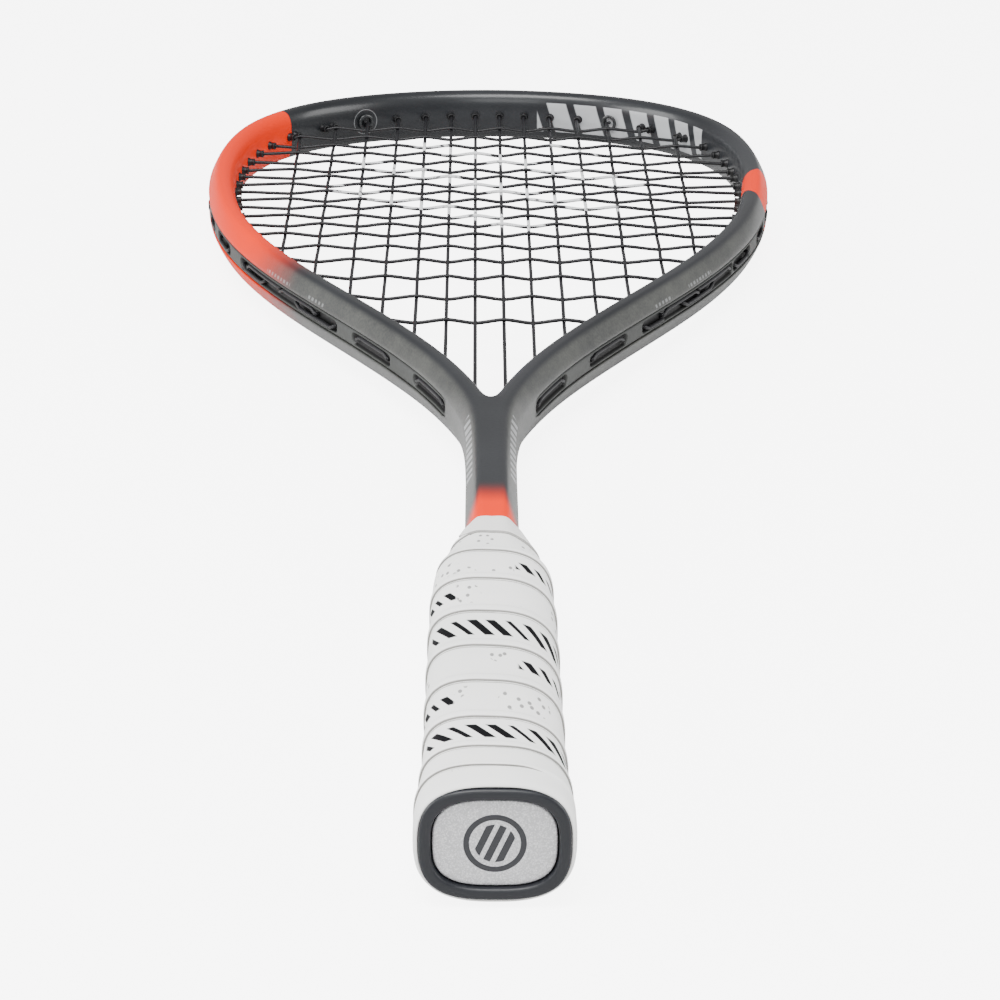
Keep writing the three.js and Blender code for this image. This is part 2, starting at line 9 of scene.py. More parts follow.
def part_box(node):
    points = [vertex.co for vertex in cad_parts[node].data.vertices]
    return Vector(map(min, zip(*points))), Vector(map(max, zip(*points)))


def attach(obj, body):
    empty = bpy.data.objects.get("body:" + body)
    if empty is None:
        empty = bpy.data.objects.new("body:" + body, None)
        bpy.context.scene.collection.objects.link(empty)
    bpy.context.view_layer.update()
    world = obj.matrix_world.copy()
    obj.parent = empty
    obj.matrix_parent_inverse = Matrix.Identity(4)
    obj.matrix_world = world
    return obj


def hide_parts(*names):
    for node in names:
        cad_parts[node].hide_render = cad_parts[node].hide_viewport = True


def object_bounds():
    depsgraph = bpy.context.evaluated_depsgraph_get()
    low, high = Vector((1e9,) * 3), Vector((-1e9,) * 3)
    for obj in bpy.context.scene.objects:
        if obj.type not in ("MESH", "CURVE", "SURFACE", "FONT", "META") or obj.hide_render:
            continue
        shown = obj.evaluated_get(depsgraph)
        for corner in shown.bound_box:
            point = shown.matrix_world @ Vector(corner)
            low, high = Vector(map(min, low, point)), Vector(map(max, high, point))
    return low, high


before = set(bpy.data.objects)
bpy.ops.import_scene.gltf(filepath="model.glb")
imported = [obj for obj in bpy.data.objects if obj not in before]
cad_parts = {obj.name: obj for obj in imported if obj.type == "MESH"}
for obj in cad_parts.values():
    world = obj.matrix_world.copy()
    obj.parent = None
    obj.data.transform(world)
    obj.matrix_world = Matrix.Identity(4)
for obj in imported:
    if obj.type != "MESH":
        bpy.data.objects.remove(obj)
CAD_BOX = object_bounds()

# The racket's own axes, in millimetres: X across the head, Y from the butt (0) to the tip, Z square
# to the string bed (0). Two numbers from the frame turn them into the row frame.
BUTT_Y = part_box("butt_cap")[0].y
BED_Z = (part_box("frame")[0].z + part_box("frame")[1].z) / 2
MM = 0.001

# ------------ driving dimensions
BEAM_HALF = 4.95
SHAFT_OFFSET = 2.4
GROOVE_FLOOR = 2.65
GROOVE_HALF = 3.2
POCKET_DEPTH, POCKET_HALF, POCKET_EDGE = 1.55, 1.95, 0.22
STRIP_GAP = 0.27
STRIP_LOW_Y = 291.0
STRIP_TOP_Y = 587.0
CROTCH_RADIUS = 0.6
CROTCH_HEIGHT = 8.0
STRING_RADIUS = 0.65
MAIN_WAVE = 0.62
CROSS_WAVE = 0.64
LOOP_OFFSET = 4.55
LANE = 1.35
LOOP_TURN = 3.2
BARREL_END = 7.55
LEAN = math.radians(28)
GUARD_CROSSES = 5
GRIP_EXPONENT, CAP_EXPONENT = 2.7, 3.0
HANDLE_FLATNESS = 3.35

SHAFT_LINE = [(SHAFT_OFFSET, y) for y in (8, 60, 120, 175, 200)]
HALF_OUTLINE = [
    (SHAFT_OFFSET, 225), (2.6, 245), (3.6, 265), (6.3, 281.5), (11.2, 299.1), (17.4, 316.5),
    (32.6, 349.8), (49.7, 382.4), (66.7, 415), (81.6, 448.6), (92.9, 483.7), (99.6, 519.9),
    (102.5, 556.7), (100.7, 593.2), (91.2, 629), (69.3, 657.8), (36.2, 674.8), (0, 680.15),
]
CROSS_Y = [
    650.1, 635, 621, 608, 594.5, 581.3, 571.2, 559, 548.5, 536.6,
    526.2, 513, 501.3, 488, 471.6, 454.2, 433, 408.7, 381.6,
]
MAIN_TOP_X = [5.05, 15.2, 25.9, 37.5, 50.1, 63, 77.2]
MAIN_LOW_X = [4.75, 14.35, 24.7, 36, 47.65, 61, 73.75]


def row_frame(points):
    """Racket millimetres to row-frame metres."""
    return np.asarray(points, float) * MM + np.array([0, BUTT_Y, BED_Z])


def smooth_between(low, high, value):
    t = np.clip((np.asarray(value, float) - low) / (high - low), 0, 1)
    return t * t * (3 - 2 * t)


def new_object(name, data):
    made = bpy.data.objects.new(name, data)
    bpy.context.scene.collection.objects.link(made)
    return made


# ------------ camera
def make_camera():
    """The photograph's viewpoint: behind and above the butt, looking along the racket."""
    yaw, pitch, roll = math.radians(0.465), math.radians(20.588), math.radians(-0.299)
    forward = Vector((math.sin(yaw) * math.cos(pitch), math.cos(yaw) * math.cos(pitch), -math.sin(pitch)))
    right = Vector((math.cos(yaw), -math.sin(yaw), 0))
    down = forward.cross(right)
    rolled_right = math.cos(roll) * right + math.sin(roll) * down
    rolled_down = -math.sin(roll) * right + math.cos(roll) * down
    data = bpy.data.cameras.new("camera")
    data.sensor_width = 36
    data.lens = 109.5
    data.clip_start, data.clip_end = 0.05, 50
    camera = new_object("camera", data)
    turn = Matrix((rolled_right, -rolled_down, -forward)).transposed().to_4x4()
    camera.matrix_world = Matrix.Translation(row_frame([-4.09, -588.1, 300.7])) @ turn
    bpy.context.scene.camera = camera


make_camera()


# ------------ mesh helpers
def add_mesh(name, points, faces, attributes=None, merge=0.0):
    """A smooth mesh object from points in racket millimetres, with float attributes per point."""
    mesh = bpy.data.meshes.new(name)
    mesh.from_pydata(row_frame(points).tolist(), [], [list(map(int, face)) for face in faces])
    for key, values in (attributes or {}).items():
        layer = mesh.attributes.new(key, "FLOAT", "POINT")
        layer.data.foreach_set("value", np.asarray(values, np.float32))
    work = bmesh.new()
    work.from_mesh(mesh)
    if merge:
        bmesh.ops.remove_doubles(work, verts=work.verts, dist=merge * MM)
    bmesh.ops.recalc_face_normals(work, faces=work.faces)
    work.to_mesh(mesh)
    work.free()
    mesh.polygons.foreach_set("use_smooth", np.ones(len(mesh.polygons), bool))
    return new_object(name, mesh)


def grid_faces(rows, columns, wrap=True, first=0):
    """Quads of a grid of points stored row by row; wrap joins the last column to the first."""
    across = columns if wrap else columns - 1
    i, j = np.meshgrid(np.arange(rows - 1), np.arange(across), indexing="ij")
    after = (j + 1) % columns
    corners = (i * columns + j, i * columns + after, (i + 1) * columns + after, (i + 1) * columns + j)
    return first + np.stack(corners, -1).reshape(-1, 4)


def ring_faces(rows, columns, ends):
    """Faces of a stack of rings whose two ends are "capped", or "joined" to each other."""
    faces = grid_faces(rows, columns).tolist()
    last = (rows - 1) * columns
    if ends == "capped":
        return faces + [list(range(columns)), [last + j for j in range(columns)]]
    return faces + [[last + j, last + (j + 1) % columns, (j + 1) % columns, j] for j in range(columns)]


class Parts:
    """Collects points and faces of several pieces that end up in one mesh."""

    def __init__(self):
        self.points, self.faces, self.count = [], [], 0

    def add(self, points, faces):
        self.points.append(np.asarray(points, float))
        self.faces.extend((np.asarray(face) + self.count).tolist() for face in faces)
        self.count += len(points)

    def build(self, name, **settings):
        return add_mesh(name, np.vstack(self.points), self.faces, **settings)


def tube(points, radius, sides=10, closed=False):
    """A round tube along points, with flat ends unless it is closed."""
    points = np.asarray(points, float)
    ahead, behind = np.roll(points, -1, 0), np.roll(points, 1, 0)
    if not closed:
        ahead[-1], behind[0] = points[-1], points[0]
    along = ahead - behind
    along /= np.linalg.norm(along, axis=1)[:, None]
    normal = np.cross(along[0], [0.0, 0.0, 1.0])
    if np.linalg.norm(normal) < 1e-3:
        normal = np.array([1.0, 0.0, 0.0])
    normals = []
    for direction in along:
        normal = normal - direction * (normal @ direction)
        normal = normal / np.linalg.norm(normal)
        normals.append(normal)
    normals = np.array(normals)
    binormals = np.cross(along, normals)
    angles = np.arange(sides) * 2 * math.pi / sides
    cosines, sines = np.cos(angles)[:, None], np.sin(angles)[:, None]
    ring = cosines * normals[:, None] + sines * binormals[:, None]
    surface = (points[:, None] + radius * ring).reshape(-1, 3)
    return surface, ring_faces(len(points), sides, "joined" if closed else "capped")


def turned(profile, centre, axis, sides=18):
    """A ring turned round an axis in the XY plane, from a closed profile of (radius, distance along)."""
    profile = np.asarray(profile, float)
    side = np.array([-axis[1], axis[0], 0.0])
    up = np.array([0.0, 0.0, 1.0])
    angles = np.arange(sides) * 2 * math.pi / sides
    radial = np.cos(angles)[:, None] * side + np.sin(angles)[:, None] * up
    points = centre + profile[:, 1][:, None, None] * axis + profile[:, 0][:, None, None] * radial
    return points.reshape(-1, 3), ring_faces(len(profile), sides, "joined")


# ------------ centre line of the frame
def smooth_line(points, step=0.25):
    """A natural cubic spline through points by chord length: arc length, places and directions."""
    points = np.asarray(points, float)
    knots = np.concatenate([[0], np.cumsum(np.linalg.norm(np.diff(points, axis=0), axis=1))])
    gaps, count = np.diff(knots), len(points)
    system, target = np.eye(count), np.zeros((count, 2))
    for i in range(1, count - 1):
        system[i, i - 1: i + 2] = gaps[i - 1], 2 * (gaps[i - 1] + gaps[i]), gaps[i]
        rise = (points[i + 1] - points[i]) / gaps[i] - (points[i] - points[i - 1]) / gaps[i - 1]
        target[i] = 6 * rise
    bend = np.linalg.solve(system, target)
    t = np.arange(0, knots[-1], step)
    i = np.clip(np.searchsorted(knots, t, side="right") - 1, 0, count - 2)
    h, a, b = gaps[i][:, None], (knots[i + 1] - t)[:, None], (t - knots[i])[:, None]
    place = (
        bend[i] * a**3 / (6 * h) + bend[i + 1] * b**3 / (6 * h)
        + (points[i] / h - bend[i] * h / 6) * a + (points[i + 1] / h - bend[i + 1] * h / 6) * b
    )
    arc = np.concatenate([[0], np.cumsum(np.linalg.norm(np.diff(place, axis=0), axis=1))])
    along = np.gradient(place, axis=0)
    return arc, place, along / np.linalg.norm(along, axis=1)[:, None]


RIGHT_LINE = SHAFT_LINE + HALF_OUTLINE
ARC, PLACE, ALONG = smooth_line(RIGHT_LINE + [(-x, y) for x, y in RIGHT_LINE[-2::-1]])
TIP = float(np.interp(0, -PLACE[:, 0], ARC))


def line_at(s):
    """Places and directions of the right half's centre line; the tip is exactly on the middle plane."""
    s = np.asarray(s, float)
    place = np.stack([np.interp(s, ARC, PLACE[:, 0]), np.interp(s, ARC, PLACE[:, 1])], -1)
    along = np.stack([np.interp(s, ARC, ALONG[:, 0]), np.interp(s, ARC, ALONG[:, 1])], -1)
    along /= np.linalg.norm(along, axis=-1)[..., None]
    at_tip = np.abs(s - TIP) < 1e-6
    place[at_tip, 0] = 0
    along[at_tip] = (-1, 0)
    return place, along


def arc_at_height(y):
    rising = ARC <= TIP
    return np.interp(y, PLACE[rising, 1], ARC[rising])


LOW_S, SPLIT_S = float(arc_at_height(STRIP_LOW_Y)), float(arc_at_height(STRIP_TOP_Y))


def beside(s, out, up):
    """Points beside the right half's centre line: so far outwards and so far up."""
    place, along = line_at(s)
    out, up = np.asarray(out, float), np.asarray(up, float)
    x = place[..., 0] + out * along[..., 1]
    y = place[..., 1] - out * along[..., 0]
    return np.stack([x, y, np.broadcast_to(up, x.shape)], -1)


def mirrored(points):
    return np.asarray(points, float) * np.array([-1, 1, 1])


def at_height(point, up):
    return np.array([point[0], point[1], up])


# ------------ string ports
def port(s, lean=0.0):
    """A hole through the beam on the right half: its axis points outwards."""
    (place,), (along,) = line_at([s])
    outward = np.array([along[1], -along[0]])
    axis = at_height(outward * math.cos(lean) - along * math.sin(lean), 0.0)
    centre = at_height(place, 0.0)
    reach = BARREL_END / math.cos(lean)
    return {"s": s, "lean": lean, "axis": axis, "centre": centre, "mouth": centre - axis * reach}


def port_where(coordinate, value, lean, low, high):
    """The port whose mouth has the given X (0) or Y (1), by halving."""
    rising = port(high, lean)["mouth"][coordinate] > port(low, lean)["mouth"][coordinate]
    for _ in range(40):
        middle = (low + high) / 2
        if (port(middle, lean)["mouth"][coordinate] < value) == rising:
            low = middle
        else:
            high = middle
    return port((low + high) / 2, lean)


WIDEST_S = float(arc_at_height(557))
CROSS_PORTS = [port_where(1, y, 0.0, LOW_S, TIP) for y in CROSS_Y]
TOP_PORTS = [port_where(0, x, 0.0, WIDEST_S, TIP) for x in MAIN_TOP_X]
LOW_PORTS = [port_where(0, x, LEAN if i < 4 else 0.0, LOW_S, WIDEST_S) for i, x in enumerate(MAIN_LOW_X)]
TIE_TOP, TIE_CROSS, TIE_MAIN = TOP_PORTS[4], LOW_PORTS[4], LOW_PORTS[5]


def exit_s(p):
    """Where a string's centre leaves a port outside, as a place on the line."""
    return p["s"] - math.tan(p["lean"]) * LOOP_OFFSET


# ------------ frame tube
# Upper half of the beam's section as (outward, up): groove floor, groove wall and lip, outer bevel,
# top facet, and the round inner side.
GROOVE_POINTS = [
    (GROOVE_FLOOR, 0), (GROOVE_FLOOR, 1.6), (GROOVE_FLOOR, 2.9), (2.73, 3.12), (2.95, GROOVE_HALF),
    (3.7, GROOVE_HALF), (4.55, GROOVE_HALF), (4.8, 3.26),
]
BEVEL_POINTS = [
    (4.92, 3.42), (4.88, 3.75), (4.66, 4.4), (4.2, 5.4), (3.65, 6.5), (3.1, 7.5), (2.6, 8.3), (2.15, 8.9),
    (1.75, 9.32), (1.35, 9.63), (0.95, 9.83), (0.5, 9.92), (0, 9.93), (-0.7, 9.93),
]
INNER_POINTS = [
    (-1.4, 9.87), (-2.1, 9.66), (-2.8, 9.28), (-3.45, 8.7), (-4.0, 7.9), (-4.45, 6.8), (-4.78, 5.4),
    (-4.93, 3.8), (-4.95, 2), (-4.95, 0),
]
GROOVE, BEVEL, INNER = range(3)


def beam_section():
    upper = GROOVE_POINTS + BEVEL_POINTS + INNER_POINTS
    kinds = [GROOVE] * len(GROOVE_POINTS) + [BEVEL] * len(BEVEL_POINTS) + [INNER] * len(INNER_POINTS)
    lower = [(out, -up) for out, up in upper[-2:0:-1]]
    out, up = np.array(upper + lower, float).T
    return out, up, np.array(kinds + kinds[-2:0:-1])


def crotch_centre():
    """The height of the centre of the circle that touches the inner walls of both arms."""
    heights = np.arange(270, 300, 0.05)
    near = ARC < TIP
    gaps = [np.hypot(PLACE[near, 0], PLACE[near, 1] - y).min() for y in heights]
    return float(heights[np.argmin(np.abs(np.array(gaps) - CROTCH_RADIUS - BEAM_HALF))])


def frame_rings():
    """Arc lengths of the rings: close at the crotch and at the strip's lower end."""
    shaft = np.concatenate([np.arange(8, 150, 20), np.arange(150, 268, 3.0)])
    crotch = np.concatenate([np.arange(268, 273, 0.5), np.arange(273, 280, 0.1)])
    throat = np.concatenate([crotch, np.arange(280, 292, 0.4), np.arange(292, 300, 0.8)])
    low = arc_at_height(np.concatenate([shaft, throat]))
    high = np.linspace(arc_at_height(300), TIP, 215)
    extra = LOW_S + np.array([-0.3, 0.05, 1.0, 2.2, 3.6])
    return np.unique(np.round(np.concatenate([low, high, extra]), 4))


def make_frame():
    out, up, kind = beam_section()
    rings = frame_rings()
    rings[-1] = TIP
    place, along = line_at(rings)
    y_line = place[:, 1]
    blend = smooth_between(298, 332, y_line)[:, None]
    level = np.stack([1 / np.maximum(along[:, 1], 0.2), np.zeros(len(rings))], -1)
    across = (1 - blend) * level + blend * np.stack([along[:, 1], -along[:, 0]], -1)
    # The groove opens over a short rounded end.
    opened = smooth_between(LOW_S - 0.3, LOW_S + 0.05, rings)[:, None]
    spread = (0.5 + 0.5 * np.sqrt(np.clip((rings - LOW_S + 0.3) / 3.9, 0, 1)))[:, None]
    is_groove, is_inner = kind == GROOVE, kind == INNER
    lip = BEAM_HALF - 0.03
    p = np.broadcast_to(out, (len(rings), len(out))).copy()
    z = np.broadcast_to(up, p.shape).copy()
    p[:, is_groove] = lip - (lip - out[is_groove]) * opened
    z[:, is_groove] = up[is_groove] * spread
    x = place[:, :1] + p * across[:, :1]
    y = place[:, 1:] + p * across[:, 1:]
    # Inside the throat the inner walls of the arms meet in a rounded V, lowest at the top and bottom.
    centre_y = crotch_centre()
    for column in np.flatnonzero(is_inner):
        bottom = centre_y - (CROTCH_RADIUS + BEAM_HALF + out[column])
        rise = np.clip((y_line - bottom) / CROTCH_HEIGHT, 0, 1)
        x[:, column] *= np.where(rise < 1, np.sqrt(1 - (1 - rise) ** 2), 1)
    arms_apart = y_line > centre_y + 10
    x[~arms_apart] = np.maximum(x[~arms_apart], 0)
    points = np.stack([x, y, z], -1).reshape(-1, 3)
    faces = grid_faces(len(rings), len(out))
    faces = faces[np.abs(points[faces][:, :, 0]).max(1) > 1e-6]
    run = np.repeat(TIP - rings, len(out))
    both = np.vstack([points, mirrored(points)])
    all_faces = faces.tolist() + (faces[:, ::-1] + len(points)).tolist()
    cap = list(range(len(out)))
    all_faces += [cap, [len(points) + i for i in cap[::-1]]]
    attributes = {"run": np.tile(run, 2), "out": np.tile(p.reshape(-1), 2)}
    return add_mesh("frame_tube", both, all_faces, attributes, merge=0.004)


frame_tube = make_frame()


# ------------ grommet strips and bumper guard
def barrel(p, inner_r=0.78, outer_r=1.5, start=-BARREL_END, end=2.9):
    """One barrel: a flared lip at the string bed's side and a sturdier root against the wall."""
    start, end = start / math.cos(p["lean"]), end / math.cos(p["lean"])
    wall = -BEAM_HALF
    profile = [
        (inner_r + 0.12, start), (outer_r * 0.93, start), (outer_r * 0.99, start + 0.12),
        (outer_r * 0.99, start + 0.35), (outer_r * 0.9, start + 0.6), (outer_r * 0.93, wall - 0.9),
        (outer_r * 1.12, wall - 0.35), (outer_r * 1.2, wall + 0.3), (outer_r, wall + 0.8),
        (outer_r, end), (inner_r, end), (inner_r, start + 0.3),
    ]
    return turned(profile, p["centre"], p["axis"])


def loops_outside(side):
    """The loops of string that lie in a strip, as pairs of ports."""
    loops = [(LOW_PORTS[i], LOW_PORTS[i + 1]) for i in (0, 2, 4, 5)]
    if side > 0:
        loops.append((CROSS_PORTS[18], TIE_CROSS))
    first = 4 if side > 0 else 5
    return loops + [(CROSS_PORTS[i], CROSS_PORTS[i + 1]) for i in range(first, 18, 2)]


def strip_top(s, z, side):
    """How far out the strip's face lies: slightly crowned, with a pocket round each loop."""
    crown = BEAM_HALF - 0.12 - 0.3 * smooth_between(2.2, 2.95, np.abs(z))
    depth = np.zeros_like(z)
    for one, other in loops_outside(side):
        low, high = sorted((exit_s(one), exit_s(other)))
        low, high = low - 0.3, high + 0.3
        beyond = np.maximum(np.maximum(low - s, s - high), 0)
        distance = np.hypot(beyond, z) - POCKET_HALF
        depth = np.maximum(depth, smooth_between(POCKET_EDGE, -POCKET_EDGE, distance))
    return crown - POCKET_DEPTH * depth, depth


def make_strip(name, side):
    rings = np.arange(LOW_S + 0.12, SPLIT_S - 0.3, 0.42)
    half = (GROOVE_HALF - STRIP_GAP) * (0.5 + 0.5 * np.sqrt(np.clip((rings - LOW_S + 0.25) / 3.9, 0, 1)))
    share = np.concatenate([np.linspace(-1, 1, 27), [1, -1]])
    z = half[:, None] * share
    out, depth = strip_top(rings[:, None], z, side)
    out[:, 0] -= 0.35
    out[:, 26] -= 0.35
    out[:, 27:] = GROOVE_FLOOR + 0.05
    body = beside(rings[:, None], out, z).reshape(-1, 3)
    parts = Parts()
    parts.add(body, ring_faces(len(rings), len(share), "capped"))
    for p in LOW_PORTS + CROSS_PORTS[GUARD_CROSSES:]:
        large = p is TIE_CROSS or p is TIE_MAIN
        parts.add(*(barrel(p, 2.1, 2.75) if large else barrel(p)))
    if side < 0:
        parts.points = [mirrored(points) for points in parts.points]
    # Painted shade: how far into a pocket each point lies, and 1 on the barrels, darkens the strip's colour.
    deep = np.concatenate([depth.reshape(-1), np.ones(parts.count - depth.size)])
    return parts.build(name, attributes={"deep": deep})


strip_right = make_strip("side_strip_right", 1)
strip_left = make_strip("side_strip_left", -1)


def make_guard():
    """The bumper round the tip: a crown over the frame's outer side with a channel for the string."""
    rings = np.concatenate([np.arange(SPLIT_S + 0.6, TIP, 0.9), [TIP]])
    from_end = rings - rings[0]
    upper = [
        (3.75, 0), (3.75, 1.7), (3.85, 2.0), (4.2, 2.1), (5.5, 2.15), (5.75, 2.3), (5.83, 2.6), (5.83, 3.3),
        (5.75, 3.7), (5.5, 4.3), (5.25, 4.6), (5.05, 4.62), (4.98, 4.4), (5.0, 3.0), (2.75, 3.0), (2.75, 1.5),
        (2.75, 0),
    ]
    section = np.array(upper + [(out, -up) for out, up in upper[-2:0:-1]], float)
    proud = section[:, 0] > 4.9
    out = np.broadcast_to(section[:, 0], (len(rings), len(section))).copy()
    taper = smooth_between(0, 10, from_end)[:, None]
    out[:, proud] = 5.0 + (section[proud, 0] - 5.0) * (0.25 + 0.75 * taper)
    notch = smooth_between(0.72, 0.95, np.cos((rings - TIP) * 2 * math.pi / 9.0))[:, None]
    ridge = section[:, 0] > 5.4
    out[:, ridge] -= 0.22 * notch
    half = beside(rings[:, None], out, section[:, 1]).reshape(-1, 3)
    half[-len(section):, 0] = 0
    faces = grid_faces(len(rings), len(section))
    parts = Parts()
    cap = list(range(len(section)))
    parts.add(half, faces.tolist() + [cap])
    parts.add(mirrored(half), faces[:, ::-1].tolist() + [cap[::-1]])
    for p in TOP_PORTS + CROSS_PORTS[:GUARD_CROSSES]:
        if p is not TIE_TOP:
            points, barrel_faces = barrel(p, end=3.7)
            parts.add(points, barrel_faces)
            parts.add(mirrored(points), barrel_faces)
    return parts.build("head_guard", merge=0.002)


head_guard = make_guard()


def make_sleeve(name, side):
    """The larger smoky sleeve through which a tied end comes back in."""
    start = -BEAM_HALF - 1.4
    profile = [
        (2.15, start + 0.1), (2.3, start), (3.1, start), (3.35, start + 0.25), (3.35, start + 0.6),
        (3.1, start + 0.8), (2.9, start + 1.0), (2.9, 2.3), (2.1, 2.3),
    ]
    points, faces = turned(profile, TIE_TOP["centre"], TIE_TOP["axis"], sides=32)
    return add_mesh(name, points if side > 0 else mirrored(points), faces)


sleeve_right = make_sleeve("tie_sleeve_right", 1)
sleeve_left = make_sleeve("tie_sleeve_left", -1)


# ------------ strings
def rounded(points, radius=0.75, steps=4):
    """The same route with each corner turned as a short curve."""
    points = np.asarray(points, float)
    route = [points[0]]
    for before, here, after in zip(points[:-2], points[1:-1], points[2:]):
        back, ahead = before - here, after - here
        reach = min(radius, np.linalg.norm(back) / 2.05, np.linalg.norm(ahead) / 2.05)
        start = here + back / np.linalg.norm(back) * reach
        end = here + ahead / np.linalg.norm(ahead) * reach
        cosine = -(back @ ahead) / (np.linalg.norm(back) * np.linalg.norm(ahead))
        if cosine > 0.9995:
            route.append(here)
            continue
        for t in np.linspace(0, 1, steps):
            route.append((1 - t) ** 2 * start + 2 * t * (1 - t) * here + t * t * end)
    route.append(points[-1])
    return np.array(route)


def out_through(p, up=0.0):
    corner = p["centre"] + p["axis"] * (LOOP_OFFSET / math.cos(p["lean"]))
    return [at_height(p["mouth"] - p["axis"] * 0.4, up), at_height(corner, up)]


def lane(one, other, up):
    """The part of a loop that lies outside along the frame, in its own lane."""
    low, high = exit_s(one), exit_s(other)
    clear = math.copysign(LOOP_TURN, high - low)
    count = max(2, int(abs(high - low) / 3))
    places = np.linspace(low + clear, high - clear, count)
    return list(beside(places, LOOP_OFFSET, up))


def loop(one, other, up):
    return [*out_through(one), *lane(one, other, up), *out_through(other)[::-1]]


def tied(one, other, up):
    """A tied end: out through one port and back in through a larger one."""
    inside = at_height(other["mouth"] - other["axis"] * 1.6, math.copysign(1.75, up))
    return [*out_through(one), *lane(one, other, up), *out_through(other, up)[::-1], inside]


def knot(centre, size=0.95):
    """A small overhand knot, closed on itself."""
    t = np.linspace(0, 2 * math.pi, 48, endpoint=False)
    x = np.sin(t) + 1.25 * np.sin(2 * t)
    y = np.cos(t) - 1.25 * np.cos(2 * t)
    z = -1.1 * np.sin(3 * t)
    return centre + size * 0.55 * np.stack([x, y, z], -1)


def wave(start, end, meetings, height):
    """Points of a string in the bed, bent over and under the strings it meets.
    meetings holds (share of the way, sign) pairs in order."""
    start, end = np.asarray(start, float), np.asarray(end, float)
    keys = [(0.0, 0.0), *[(share, sign * height) for share, sign in meetings], (1.0, 0.0)]
    route = []
    for (s0, z0), (s1, z1) in zip(keys[:-1], keys[1:]):
        for t in (0, 0.05, 0.12, 0.22, 0.4, 0.6, 0.78, 0.88, 0.95):
            share = s0 + (s1 - s0) * t
            bend = t - 0.35 * math.sin(2 * math.pi * t) / (2 * math.pi)
            route.append(at_height(start + (end - start) * share, z0 + (z1 - z0) * bend))
    return route[1:]


def main_x(i, y):
    """X of main i (0 to 6 on the right) at height y."""
    top, low = TOP_PORTS[i]["mouth"], LOW_PORTS[i]["mouth"]
    return low[0] + (top[0] - low[0]) * (y - low[1]) / (top[1] - low[1])


def main_meets(i, y):
    return LOW_PORTS[i]["mouth"][1] + 1 < y < TOP_PORTS[i]["mouth"][1] - 1


def order_of(i, side):
    """Mains are numbered from the left edge to the right edge."""
    return i + 7 if side > 0 else 6 - i


def over(order, cross):
    """+1 where the cross runs above the main."""
    return 1 if (order + cross) % 2 else -1


def main_bed(i, side, upwards):
    """Main i on one side, from its lower to its upper port or back, as if on the right half."""
    top, low = TOP_PORTS[i]["mouth"], LOW_PORTS[i]["mouth"]
    ends = (low, top) if upwards else (top, low)
    found = []
    for cross, y in enumerate(CROSS_Y):
        if main_meets(i, y):
            share = (y - ends[0][1]) / (ends[1][1] - ends[0][1])
            found.append((share, -over(order_of(i, side), cross)))
    return wave(ends[0], ends[1], sorted(found), MAIN_WAVE)


def string_mesh(name, route, knot_shift):
    """A string along its route, with a knot beyond each end."""
    route = rounded(route)
    parts = Parts()
    parts.add(*tube(route, STRING_RADIUS))
    for end in (route[0], route[-1]):
        parts.add(*tube(knot(end + np.array([0, 0, knot_shift])), STRING_RADIUS * 0.85, closed=True))
    return parts.build(name)


def make_mains():
    halves = []
    for side in (1, -1):
        route = out_through(TOP_PORTS[0])[::-1]
        for i in range(0, 7, 2):
            route += main_bed(i, side, upwards=False)
            if i == 6:
                route += tied(LOW_PORTS[6], TIE_MAIN, LANE)
                break
            route += loop(LOW_PORTS[i], LOW_PORTS[i + 1], LANE)
            route += main_bed(i + 1, side, upwards=True)
            route += loop(TOP_PORTS[i + 1], TOP_PORTS[i + 2], LANE)
        halves.append(np.array(route))
    right, left = halves[0], mirrored(halves[1])
    crown = beside([TIP], LOOP_OFFSET, LANE)
    return string_mesh("mains", np.vstack([left[::-1], crown, right]), 0.3)


def cross_bed(cross, to_right):
    y = CROSS_Y[cross]
    mouth = CROSS_PORTS[cross]["mouth"]
    start, end = mirrored(mouth), mouth
    found = []
    for i in range(7):
        if main_meets(i, y):
            for side in (1, -1):
                share = (side * main_x(i, y) - start[0]) / (end[0] - start[0])
                found.append((share, over(order_of(i, side), cross)))
    route = wave(start, end, sorted(found), CROSS_WAVE)
    return route if to_right else route[::-1]


def make_crosses():
    route = list(mirrored(tied(CROSS_PORTS[0], TIE_TOP, -LANE))[::-1])
    for cross in range(len(CROSS_Y)):
        to_right = cross % 2 == 0
        route += cross_bed(cross, to_right)
        if cross == len(CROSS_Y) - 1:
            route += tied(CROSS_PORTS[cross], TIE_CROSS, -LANE)
            break
        turn = loop(CROSS_PORTS[cross], CROSS_PORTS[cross + 1], -LANE)
        route += list(turn if to_right else mirrored(turn))
    return string_mesh("crosses", route, -0.3)


mains = make_mains()
crosses = make_crosses()


# ------------ handle
HALF_WIDTHS = ([0, 3, 9, 16, 22, 30, 43, 88, 122, 142],
               [17.9, 17.9, 17.8, 17.3, 16.9, 16.45, 16.2, 16.05, 15.9, 15.3])
HALF_HEIGHTS = ([0, 9, 22, 43, 130, 145], [14.65, 14.65, 13.75, 13.0, 12.95, 12.8])
SHOULDER_Y = 142.0
TAPE_TOP_Y, TAPE_RISE = 173.0, 7.7


def tape_edge(theta):
    """Where the finishing tape ends on the shaft: further up on the two narrow sides."""
    return TAPE_TOP_Y + TAPE_RISE * np.abs(np.sin(theta)) ** 2.2


def shaft_outline(across, up, gap):
    """The shaft's outline in the same directions from its middle, a little outside it."""
    corners = [(0, 9.93), (SHAFT_OFFSET + 0.5, 9.92)]
    corners += [(SHAFT_OFFSET + out, z) for out, z in BEVEL_POINTS[-4::-1]] + [(SHAFT_OFFSET + BEAM_HALF, 0)]
    outline = np.array(corners)
    angles = np.arctan2(outline[:, 0], outline[:, 1])
    angle = np.arctan2(np.abs(across), np.abs(up))
    reach = np.interp(angle, angles, np.hypot(outline[:, 0], outline[:, 1])) + gap
    return reach * np.sin(angle) * np.sign(across), reach * np.cos(angle) * np.sign(up)


